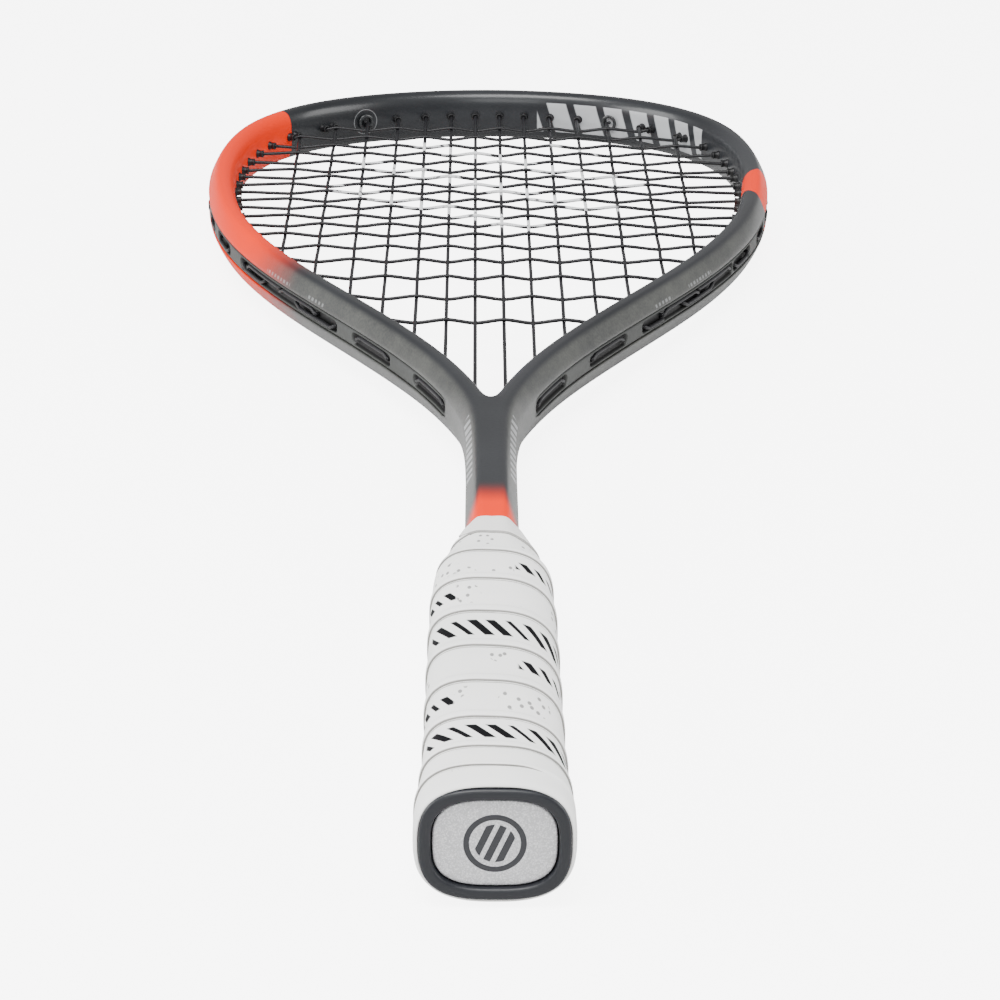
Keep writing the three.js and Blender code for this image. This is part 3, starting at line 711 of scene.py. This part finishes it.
def handle_points(theta, y, proud=0.0):
    """Points on the handle's outer surface; theta runs from the top, +X at a quarter turn.
    Above the shoulder the section narrows to the shaft's."""
    theta, y = np.broadcast_arrays(np.asarray(theta, float), np.asarray(y, float))
    wide = np.interp(y, *HALF_WIDTHS) + proud
    high = np.interp(y, *HALF_HEIGHTS) + proud
    body = rounded_rectangle(theta, y, wide, high)
    end_x, end_z = shaft_outline(body[..., 0], body[..., 2], 0.1 + proud)
    share = np.clip((y - SHOULDER_Y) / (tape_edge(theta) - SHOULDER_Y), 0, 1)
    body[..., 0] += (end_x - body[..., 0]) * share
    body[..., 2] += (end_z - body[..., 2]) * share
    return body


def rounded_rectangle(theta, y, wide, high, exponent=GRIP_EXPONENT):
    power = 2 / exponent
    sine, cosine = np.sin(theta), np.cos(theta)
    x = wide * np.sign(sine) * np.abs(sine) ** power
    z = high * np.sign(cosine) * np.abs(cosine) ** power
    return np.stack([x, np.broadcast_to(y, x.shape), z], -1)


COLUMNS = 128
THETA = np.arange(COLUMNS) * 2 * math.pi / COLUMNS
# Heights of the wrap's seam on the top line, from the butt up; the wrap climbs one turn between them.
SEAM_Y = [-22, -11, 0.5, 9.7, 20.9, 37.7, 58.3, 78.8, 100.2, 121.6, 141.2, 158.5, 176, 194]
SEAM_TURN = np.arange(len(SEAM_Y)) - 3.0
# Rows of one turn, in share of the turn above the seam, and how proud each lies.
WRAP_SHARE = [0.0, 0.008, 0.02, 0.04, 0.07, 0.11, 0.145, 0.165, 0.185, 0.21, 0.26, 0.34, 0.44, 0.54, 0.64,
              0.74, 0.83, 0.9, 0.95, 0.985, 0.997]
WRAP_PROUD = [-0.06, 0.28, 0.40, 0.46, 0.48, 0.47, 0.43, 0.32, 0.18, 0.12, 0.10, 0.11, 0.12, 0.12, 0.11,
              0.09, 0.04, -0.03, -0.11, -0.18, -0.22]
WRAP_LOW_Y = 9.0
TAPE_LOW_Y = 157.6


def tape_low(theta):
    """The finishing tape's lower edge, cut on a slant: it climbs the left side."""
    return TAPE_LOW_Y - 3 * np.sin(theta) + 17 * np.clip(-np.sin(theta), 0, 1) ** 3


def make_grip():
    turns = np.arange(-1, 11)
    t_rows = (turns[:, None] + WRAP_SHARE).reshape(-1)
    rows, per_turn = len(t_rows), len(WRAP_SHARE)
    t = t_rows[:, None] - THETA / (2 * math.pi)
    y = np.interp(t, SEAM_TURN, SEAM_Y)
    proud = np.tile(WRAP_PROUD, len(turns))[:, None]
    top = np.broadcast_to(tape_low(THETA) + 1.2, y.shape)
    limited = np.clip(y, WRAP_LOW_Y, top)
    fade = smooth_between(WRAP_LOW_Y, WRAP_LOW_Y + 0.6, limited) * smooth_between(0, 1.5, top - limited)
    points = handle_points(THETA, limited, proud * fade)
    index = np.arange(rows * COLUMNS).reshape(rows, COLUMNS)
    faces = []
    for i in range(rows - 1):
        for j in range(COLUMNS):
            # At the end of the grid the helix joins its own turn below.
            k, after = (i, j + 1) if j < COLUMNS - 1 else (i - per_turn, 0)
            if k < 0:
                continue
            quad = [index[i, j], index[k, after], index[k + 1, after], index[i + 1, j]]
            below = (y.flat[quad] <= WRAP_LOW_Y).all()
            beyond = (y.flat[quad] >= top.flat[quad]).all()
            if not below and not beyond:
                faces.append(quad)
    parts = Parts()
    parts.add(points.reshape(-1, 3), faces)
    # The rolled end round the butt, and the inner face behind the ring.
    roll = [(9.0, 0), (6, 0.05), (3.4, 0), (2.2, -0.12), (1.4, -0.4), (0.95, -0.75), (0.9, -1.0), (1.3, -1.1),
            (3.0, -1.1), (3.0, -2.6), (20, -2.6)]
    ends = np.array([handle_points(THETA, y_row, grow) for y_row, grow in roll])
    parts.add(ends.reshape(-1, 3), grid_faces(len(ends), COLUMNS))
    others = parts.count - t.size
    turn = np.concatenate([t.reshape(-1), np.zeros(others)])
    share = np.concatenate([np.repeat(np.tile(WRAP_SHARE, len(turns)), COLUMNS), np.full(others, 0.5)])
    return parts.build("grip_wrap", attributes={"turn": turn, "share": share}, merge=0.003)


grip_wrap = make_grip()


def make_finishing_tape():
    """The smooth band over the top of the wrap: its upper edge dips on the two wide faces."""
    edge, low = tape_edge(THETA), tape_low(THETA)
    rows = [
        (0, -0.4), (0, 0), (0.006, 0.42), (0.03, 0.5), (0.12, 0.48), (0.25, 0.44), (0.4, 0.42), (0.55, 0.4),
        (0.7, 0.38), (0.82, 0.36), (0.92, 0.34), (0.97, 0.3), (0.995, 0.2), (1, 0), (1, -1.2),
    ]
    points = np.array([handle_points(THETA, low + (edge - low) * share, proud) for share, proud in rows])
    shares = {"share": np.repeat([share for share, _ in rows], COLUMNS)}
    return add_mesh("finishing_band", points.reshape(-1, 3), grid_faces(len(rows), COLUMNS), shares)


finishing_band = make_finishing_tape()


def make_cap():
    """The dark butt cap: a rounded rim round the recess for the badge, and a skirt under the grip."""
    rows = [
        (6, 9), (6, 16.2), (1.8, 16.55), (1, 16.65), (0.45, 16.55), (0.14, 16.3), (0.02, 15.9), (0, 15.4),
        (0, 14.9), (0.05, 14.5), (0.2, 14.2), (0.5, 14.02), (0.9, 13.95), (2.6, 13.9), (2.6, 9), (2.6, 3),
    ]
    rings = []
    for y, wide in rows:
        flat = HANDLE_FLATNESS if wide > 8 else 0.8
        rings.append(rounded_rectangle(THETA, y, wide, wide - flat, CAP_EXPONENT))
    return add_mesh("butt_rim", np.array(rings).reshape(-1, 3), ring_faces(len(rings), COLUMNS, "capped"))


butt_rim = make_cap()


def make_pallet():
    """The moulded body between the shaft and the grip."""
    rows = [6.4, 12, 20, 30, 60, 100, 122, 135, 142, 148, 154, 159, 162]
    outer = [handle_points(THETA, y, -2.0) for y in rows]
    inner = []
    for points in (outer[-1], outer[0]):
        x, z = shaft_outline(points[:, 0], points[:, 2], 0.15)
        inner.append(np.stack([x, points[:, 1], z], -1))
    rings = np.array(outer + inner)
    return add_mesh("handle_core", rings.reshape(-1, 3), ring_faces(len(rings), COLUMNS, "joined"))


handle_core = make_pallet()


def make_badge():
    rows = [(2.55, 13.6), (1.6, 13.6), (1.35, 13.45), (1.28, 13.2), (1.25, 12.6), (1.25, 9.0), (1.25, 5.0)]
    rings = [rounded_rectangle(THETA, y, wide, wide - HANDLE_FLATNESS, CAP_EXPONENT) for y, wide in rows]
    return add_mesh("butt_plate", np.array(rings).reshape(-1, 3), ring_faces(len(rings), COLUMNS, "capped"))


butt_plate = make_badge()


# ------------ materials
def operator(operation, swapped=False):
    """A method that puts a maths node after a signal."""
    def method(self, *others):
        values = (*others, self) if swapped else (self, *others)
        return self.graph.math(operation, *values)

    return method


class Signal:
    """A socket of a node graph that can be used in sums."""

    def __init__(self, graph, socket):
        self.graph, self.socket = graph, socket

    __add__, __radd__ = operator("ADD"), operator("ADD", True)
    __sub__, __rsub__ = operator("SUBTRACT"), operator("SUBTRACT", True)
    __mul__, __rmul__ = operator("MULTIPLY"), operator("MULTIPLY", True)
    __truediv__, either = operator("DIVIDE"), operator("MAXIMUM")
    __abs__, fraction, floor = operator("ABSOLUTE"), operator("FRACT"), operator("FLOOR")

    def between(self, low, high):
        """0 below low to 1 above high, smoothly; low above high turns it round."""
        turned_round = low > high
        low, high = sorted((low, high))
        inputs = {
            "Value": self, "From Min": low, "From Max": high,
            "To Min": float(turned_round), "To Max": float(not turned_round),
        }
        return self.graph.made("ShaderNodeMapRange", "Result", inputs, interpolation_type="SMOOTHSTEP")

    def band(self, low, high, soft):
        """1 between low and high, with soft edges."""
        return self.between(low - soft, low + soft) * self.between(high + soft, high - soft)


class Graph:
    """A material with a Principled shader, and short ways to add nodes to it."""

    def __init__(self, name, **settings):
        self.material = bpy.data.materials.new(name)
        self.material.use_nodes = True
        self.tree = self.material.node_tree
        self.shader = self.tree.nodes["Principled BSDF"]
        for key, value in settings.items():
            self.shader.inputs[key.replace("_", " ")].default_value = value

    def feed(self, value, socket):
        if isinstance(value, Signal):
            self.tree.links.new(value.socket, socket)
        else:
            socket.default_value = value

    def made(self, kind, output, inputs=None, **settings):
        """One output of a new node, with its inputs given by name or number."""
        node = self.tree.nodes.new(kind)
        for key, value in settings.items():
            setattr(node, key, value)
        for key, value in (inputs or {}).items():
            self.feed(value, node.inputs[key])
        return Signal(self, node.outputs[output])

    def math(self, operation, *values):
        return self.made("ShaderNodeMath", 0, dict(enumerate(values)), operation=operation)

    def attribute(self, name):
        return self.made("ShaderNodeAttribute", "Fac", attribute_name=name)

    def object_vector(self):
        return self.made("ShaderNodeTexCoord", "Object")

    def position(self):
        """X, Y and Z in racket millimetres."""
        parted = self.tree.nodes.new("ShaderNodeSeparateXYZ")
        self.feed(self.object_vector(), parted.inputs[0])
        x, y, z = (Signal(self, socket) for socket in parted.outputs)
        return x * 1000, (y - BUTT_Y) * 1000, (z - BED_Z) * 1000

    def noise(self, scale, detail=3.0, rough=0.55):
        inputs = {"Vector": self.object_vector(), "Scale": scale, "Detail": detail, "Roughness": rough}
        return self.made("ShaderNodeTexNoise", "Fac", inputs)

    def cells(self, scale, vector=None, dimensions="3D"):
        inputs = {"Vector": vector or self.object_vector(), "Scale": scale}
        return self.made("ShaderNodeTexVoronoi", "Distance", inputs, voronoi_dimensions=dimensions)

    def random(self, cell, seed):
        """A steady random number per whole number."""
        return self.made("ShaderNodeTexWhiteNoise", "Value", {"W": cell + seed}, noise_dimensions="1D")

    def mix(self, share, *ends):
        first, second = (end if isinstance(end, Signal) else (*end, 1.0) for end in ends)
        return self.made("ShaderNodeMix", 2, {"Factor": share, 6: first, 7: second}, data_type="RGBA")

    def set(self, name, value):
        self.feed(value, self.shader.inputs[name])

    def bump(self, height, distance, strength=1.0):
        inputs = {"Height": height, "Distance": distance, "Strength": strength}
        self.set("Normal", self.made("ShaderNodeBump", 0, inputs))


def slanted_bars(graph, along, across, pitch, slant, duty, seed):
    """Plain leaning bars of uneven widths, in place of lettering."""
    lean = (along + across * slant) / pitch
    width = graph.random(lean.floor(), seed) * 0.3 + duty
    return (abs(lean.fraction() - 0.5) - width * 0.5).between(0.03, -0.03)


CHARCOAL = (0.0075, 0.0085, 0.0105)
CHARCOAL_LIGHT = (0.015, 0.0165, 0.0195)
# Paler grey of the outer bevels: painted reflection of the bright surroundings.
FLANK_REFLECTION_GREY = (0.058, 0.060, 0.054)
ORANGE = (0.74, 0.024, 0.0)
SILVER = (0.40, 0.41, 0.42)
# Where the paint changes, in millimetres: back from the tip along the line, or up from the butt (Y).
ORANGE_START, ORANGE_FADE_Y = 97.65, (402, 452)
PATCH_START, PATCH_END = 195.3, 226.1
COLLAR_FADE_Y = (203, 184)
WORD_RUN, SIDE_MARKS_Y = (22, 112), (212, 264)
DASH_RUNS = (318, 338), (352, 366)


def frame_paint():
    g = Graph("frame_paint", Coat_Roughness=0.2)
    x, y, z = g.position()
    run, out = g.attribute("run"), g.attribute("out")
    left = x.between(0.4, -0.4)
    grain = g.noise(900, 4)
    cloud = g.noise(14, 3)
    base = g.mix(cloud.between(0.3, 0.7), CHARCOAL, CHARCOAL_LIGHT)
    # The outer bevels and walls are a paler grey near the throat: painted reflection of the bright
    # surroundings, over the paint's own mottle.
    mottle = g.noise(70, 6, 0.7).between(0.3, 0.7) * 0.4 + g.noise(1300, 2).between(0.35, 0.65) * 0.3 + 0.3
    flank = out.between(1.4, 2.9) * (y.between(560, 420) * 0.6 + 0.4) * mottle
    base = g.mix(flank, base, FLANK_REFLECTION_GREY)
    # Orange on the left from a sharp edge near the tip, fading out down the arm.
    wobble = (g.noise(60, 4) - 0.5) * 14
    start = run.between(ORANGE_START - 0.25, ORANGE_START + 0.25)
    left_orange = left * start * (y + wobble).between(*ORANGE_FADE_Y)
    # A short patch with curved edges on the right.
    curve = (out + 1) * 1.2
    patch = (run + curve).between(PATCH_START - 0.3, PATCH_START + 0.3)
    patch = patch * (run - curve).between(PATCH_END + 0.3, PATCH_END - 0.3) * (1 - left)
    # A collar above the grip, lower on the shaft's flanks.
    lower_on_flanks = (abs(x) - 3.5).either(0) * 4
    collar = (y + wobble * 0.25 + lower_on_flanks).between(*COLLAR_FADE_Y) * abs(x).between(40, 30)
    collar = collar * collar
    orange = left_orange.either(patch).either(collar)
    painted = g.mix(orange, base, ORANGE)
    # Plain slanted bars: on the inner wall near the tip, on the shaft's flanks, and faint ones on the arms.
    inner = out.between(-4.0, -4.7)
    word = slanted_bars(g, run, z, 13.0, 0.35, 0.5, 3.0) * inner * (1 - left)
    word = word * run.band(*WORD_RUN, 0.3) * abs(z).between(6.3, 6.0)
    sides = slanted_bars(g, y, z, 5.2, 0.5, 0.4, 9.0) * y.band(*SIDE_MARKS_Y, 0.3)
    sides = sides * z.band(4.4, 7.6, 0.2) * out.between(1.0, 1.8) * abs(x).between(22, 20)
    dashes = slanted_bars(g, run, z, 2.6, 0.2, 0.4, 5.0) * z.band(4.2, 5.2, 0.12) * out.between(2.5, 3.5)
    dashes = dashes * run.band(*DASH_RUNS[0], 0.3).either(run.band(*DASH_RUNS[1], 0.3))
    # A thin circle round the tied end at the left.
    tie_x, tie_y, _ = TIE_TOP["centre"]
    across = (x + tie_x) * TIE_TOP["axis"][1] + (y - tie_y) * TIE_TOP["axis"][0]
    circle = g.math("SQRT", across * across + z * z).band(5.0, 5.35, 0.08) * left * inner
    circle = circle * y.between(600, 610)
    marks = word.either(sides * 0.7).either(dashes.either(circle) * 0.35)
    speck = g.cells(2600).between(0.2, 0.05) * 0.15
    g.set("Base Color", g.mix(marks * 0.9, g.mix(speck, painted, (0.12, 0.12, 0.125)), SILVER))
    g.set("Roughness", 0.34 + grain * 0.08 + cloud * 0.05)
    g.set("Coat Weight", 0.35 - orange * 0.27)
    g.set("Specular IOR Level", 0.3 - orange * 0.24)
    g.bump(grain, 0.00004, 0.35)
    return g.material


def strip_nylon(name, color, light):
    g = Graph(name, Specular_IOR_Level=0.35)
    grain, cloud = g.noise(700, 4), g.noise(35, 3)
    face = g.mix(cloud.between(0.3, 0.75), color, light)
    # Painted shade: the strip darkens to near-black in the pockets round the loops, and the barrels take the
    # same near-black.
    g.set("Base Color", g.mix(g.attribute("deep").between(0.0, 0.7) * 0.95, face, (0.004, 0.004, 0.0045)))
    g.set("Roughness", 0.38 + grain * 0.18)
    g.bump(grain, 0.00005, 0.5)
    return g.material


def smoky_sleeve():
    g = Graph("smoky_sleeve", Specular_IOR_Level=0.4)
    cloud = g.noise(120, 3)
    g.set("Base Color", g.mix(cloud, (0.012, 0.013, 0.014), (0.03, 0.032, 0.034)))
    g.set("Roughness", 0.16 + cloud * 0.12)
    return g.material


def string_coat():
    """Black coated string, with pale slanted stripes across the bed in place of the stencil."""
    g = Graph("string_coat", Specular_IOR_Level=0.25)
    x, y, z = g.position()
    fibre = g.noise(1500, 3)
    lean = (y + x * 0.75 - 440) / 46
    stripe = abs(lean.fraction() - 0.5).between(0.17, 0.15)
    reach = ((x * x) / 3700 + (y - 560) * (y - 560) / 4900).between(1.0, 0.96)
    worn = g.noise(420, 4).between(0.3, 0.46)
    pale = stripe * reach * worn * z.between(-0.35, 0.0)
    black = g.mix(fibre, (0.006, 0.006, 0.007), (0.011, 0.011, 0.013))
    g.set("Base Color", g.mix(pale, black, (0.62, 0.63, 0.64)))
    g.set("Roughness", 0.3 + fibre * 0.15 + pale * 0.25)
    g.bump(fibre, 0.00003, 0.4)
    return g.material


def white_wrap():
    g = Graph("white_wrap")
    x, _, z = g.position()
    turn, share = g.attribute("turn"), g.attribute("share")
    around = g.math("ARCTAN2", x * 0.8, z) * 14.5
    whole = (turn + g.math("ARCTAN2", x, z) / (2 * math.pi)).floor()
    grain, cloud = g.noise(1100, 5), g.noise(22, 4)
    pores = g.cells(1500)
    white = g.mix(cloud.between(0.3, 0.7), (0.84, 0.85, 0.83), (0.93, 0.92, 0.905))
    # Painted shade: a dark line just under each overlapping edge, in the crease between turns.
    seam = share.between(0.95, 0.99).either(share.between(0.025, 0.005))
    shaded = g.mix(seam * 0.9, white, (0.13, 0.125, 0.115))
    # Painted shade: a faint grey line along the step where each overlap ends.
    shaded = g.mix(share.band(0.155, 0.19, 0.01) * 0.2, shaded, (0.5, 0.49, 0.47))
    # Black leaning bars all the way across two turns, and short groups at one side of the others.
    def on_turns(first, second):
        return whole.band(first - 0.5, first + 0.5, 0.01) + whole.band(second - 0.5, second + 0.5, 0.01)

    right_group = on_turns(3, 6) * around.band(5, 17, 0.3)
    left_group = on_turns(2, 5) * around.band(-19, -8, 0.3)
    wide_bars = slanted_bars(g, around, share * 20, 3.9, 0.45, 0.3, 2.0)
    wide_bars = wide_bars * on_turns(1, 4) * around.band(-15, 17, 0.4) * share.band(0.3, 0.74, 0.02)
    short_bars = slanted_bars(g, around, share * 20, 3.4, 0.4, 0.36, 7.0)
    bars = wide_bars.either(short_bars * (right_group + left_group) * share.band(0.4, 0.66, 0.02))
    # Faint grey three-dot marks where there are no bars.
    cell = g.made("ShaderNodeCombineXYZ", 0, {0: around, 1: share * 8.5 + whole * 37})
    dots = g.cells(0.5, cell, "2D").between(0.25, 0.17) * g.cells(0.12, cell, "2D").between(0.34, 0.3)
    plain = on_turns(0, 1) + on_turns(-1, 4)
    dots = dots * (1 - plain) * share.band(0.25, 0.85, 0.03) * (1 - right_group) * (1 - left_group)
    color = g.mix(dots * 0.85, shaded, (0.15, 0.15, 0.145))
    g.set("Base Color", g.mix(bars, color, (0.006, 0.006, 0.007)))
    g.set("Roughness", 0.52 + grain * 0.16)
    g.set("Specular IOR Level", 0.25 - bars * 0.22)
    g.bump(grain * 0.6 + pores * 0.5, 0.00009, 0.5)
    return g.material


def white_tape():
    g = Graph("white_tape", Coat_Weight=0.1, Coat_Roughness=0.3)
    fine, cloud = g.noise(600, 4), g.noise(30, 3)
    tape_white = g.mix(cloud, (0.84, 0.835, 0.81), (0.89, 0.885, 0.865))
    # Painted shade along the low edge, where the tape steps down onto the wrap.
    g.set("Base Color", g.mix(g.attribute("share").between(0.055, 0.02) * 0.85, tape_white, (0.16, 0.155, 0.145)))
    g.set("Roughness", 0.36 + fine * 0.16)
    g.bump(g.noise(90, 3) + fine * 0.3, 0.00015, 0.3)
    return g.material


def cap_plastic():
    g = Graph("cap_plastic", Specular_IOR_Level=0.4)
    grain, cloud = g.noise(1200, 4), g.noise(40, 3)
    g.set("Base Color", g.mix(cloud, (0.007, 0.008, 0.011), (0.011, 0.0125, 0.016)))
    g.set("Roughness", 0.34 + grain * 0.16)
    g.bump(grain, 0.00004, 0.5)
    return g.material


def badge_foil():
    """Speckled silver with a plain ring and three leaning bars."""
    g = Graph("badge_foil")
    x, _, z = g.position()
    speck, fine = g.cells(2300), g.noise(2600, 3)
    silver = g.mix(speck.between(0.1, 0.55), (0.72, 0.72, 0.73), (0.52, 0.52, 0.53))
    silver = g.mix(fine.between(0.5, 0.7) * 0.5, silver, (0.95, 0.95, 0.96))
    radius = g.math("SQRT", x * x + z * z)
    ring = radius.band(5.6, 6.9, 0.07)
    lean = x + z * -0.45
    bars = abs((lean / 2.9 + 0.5).fraction() - 0.5).between(0.31, 0.29) * radius.between(4.6, 4.45)
    emblem = ring.either(bars)
    g.set("Base Color", g.mix(emblem, silver, (0.02, 0.021, 0.025)))
    g.set("Metallic", 0.55 - emblem * 0.55)
    g.set("Roughness", 0.36 + speck * 0.25)
    g.bump(speck - emblem * 1.5, 0.00006, 0.6)
    return g.material


def pallet_foam():
    g = Graph("pallet_foam", Roughness=0.8)
    bubbles = g.cells(900)
    g.set("Base Color", g.mix(bubbles, (0.06, 0.06, 0.055), (0.1, 0.1, 0.09)))
    g.bump(bubbles, 0.0001, 0.5)
    return g.material


def staple_steel():
    g = Graph("staple_steel", Metallic=1.0)
    brushed = g.noise(800, 3)
    g.set("Base Color", g.mix(brushed, (0.5, 0.5, 0.5), (0.62, 0.62, 0.63)))
    g.set("Roughness", 0.25 + brushed * 0.15)
    return g.material


def finish_piece(piece, material, node):
    piece.data.materials.clear()
    piece.data.materials.append(material)
    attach(piece, "root")
    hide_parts(node)


side_nylon = strip_nylon("side_nylon", (0.028, 0.030, 0.028), (0.042, 0.045, 0.042))
guard_nylon = strip_nylon("guard_nylon", (0.004, 0.004, 0.005), (0.007, 0.007, 0.008))
sleeve_material, string_material = smoky_sleeve(), string_coat()
finish_piece(frame_tube, frame_paint(), "frame")
finish_piece(strip_right, side_nylon, "grommet_strip_right")
finish_piece(strip_left, side_nylon, "grommet_strip_left")
finish_piece(head_guard, guard_nylon, "bumper_guard")
finish_piece(sleeve_right, sleeve_material, "tie_off_sleeve_right")
finish_piece(sleeve_left, sleeve_material, "tie_off_sleeve_left")
finish_piece(mains, string_material, "main_string")
finish_piece(crosses, string_material, "cross_string")
finish_piece(grip_wrap, white_wrap(), "grip_tape")
finish_piece(finishing_band, white_tape(), "finishing_tape")
finish_piece(butt_rim, cap_plastic(), "butt_cap")
finish_piece(butt_plate, badge_foil(), "butt_badge")
finish_piece(handle_core, pallet_foam(), "handle_pallet")

# The staples keep their CAD shapes: the grip and the cap cover them.
steel = staple_steel()
for node in ("cap_staple_right", "cap_staple_left"):
    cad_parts[node].data.materials.clear()
    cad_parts[node].data.materials.append(steel)


# ------------ stage and light
FLOOR_GLOW, BACKDROP_GLOW, WORLD_LIGHT = 6.0, 6.3, 0.42


def make_floor():
    mesh = bpy.data.meshes.new("floor")
    half = 16.0
    corners = [(-half, -half, 0), (half, -half, 0), (half, half, 0), (-half, half, 0)]
    mesh.from_pydata(corners, [], [range(4)])
    floor = new_object("floor", mesh)
    floor.location.z = CAD_BOX[0].z - 0.0006
    g = Graph("floor", Roughness=0.9, Base_Color=(0.6, 0.6, 0.6, 1), Specular_IOR_Level=0.1,
              Emission_Color=(1, 1, 1, 1))
    # The floor looks bright, but lights the racket only by what it reflects.
    g.set("Emission Strength", g.made("ShaderNodeLightPath", "Is Camera Ray") * FLOOR_GLOW)
    mesh.materials.append(g.material)


def add_light(name, place, target, size, power):
    data = bpy.data.lights.new(name, "AREA")
    data.shape, data.size, data.size_y, data.energy = "RECTANGLE", size[0], size[1], power
    light = new_object(name, data)
    way = (Vector(target) - Vector(place)).normalized()
    light.matrix_world = Matrix.Translation(place) @ way.to_track_quat("-Z", "Y").to_matrix().to_4x4()


def light_scene():
    world = bpy.data.worlds.new("studio")
    bpy.context.scene.world = world
    world.use_nodes = True
    nodes, links = world.node_tree.nodes, world.node_tree.links
    background = nodes["Background"].inputs
    background["Color"].default_value = (1, 1, 1, 1)
    # The backdrop looks as bright as the floor, but lights the racket softly.
    brightness = nodes.new("ShaderNodeMath")
    brightness.operation = "MULTIPLY_ADD"
    brightness.inputs[1].default_value = BACKDROP_GLOW
    brightness.inputs[2].default_value = WORLD_LIGHT
    links.new(nodes.new("ShaderNodeLightPath").outputs["Is Camera Ray"], brightness.inputs[0])
    links.new(brightness.outputs[0], background["Strength"])
    add_light("overhead", (-0.3, -0.7, 1.8), (0, -0.1, 0), (1.5, 1.0), 74)
    add_light("side_left", (-1.6, -0.1, 0.6), (0, 0, 0), (1.4, 0.8), 34)
    add_light("side_right", (1.6, -0.2, 0.6), (0, 0, 0), (1.4, 0.8), 26)
    add_light("behind_camera", (-0.3, -2.2, 0.9), (0, -0.2, 0), (1.2, 0.8), 14)


make_floor()
light_scene()
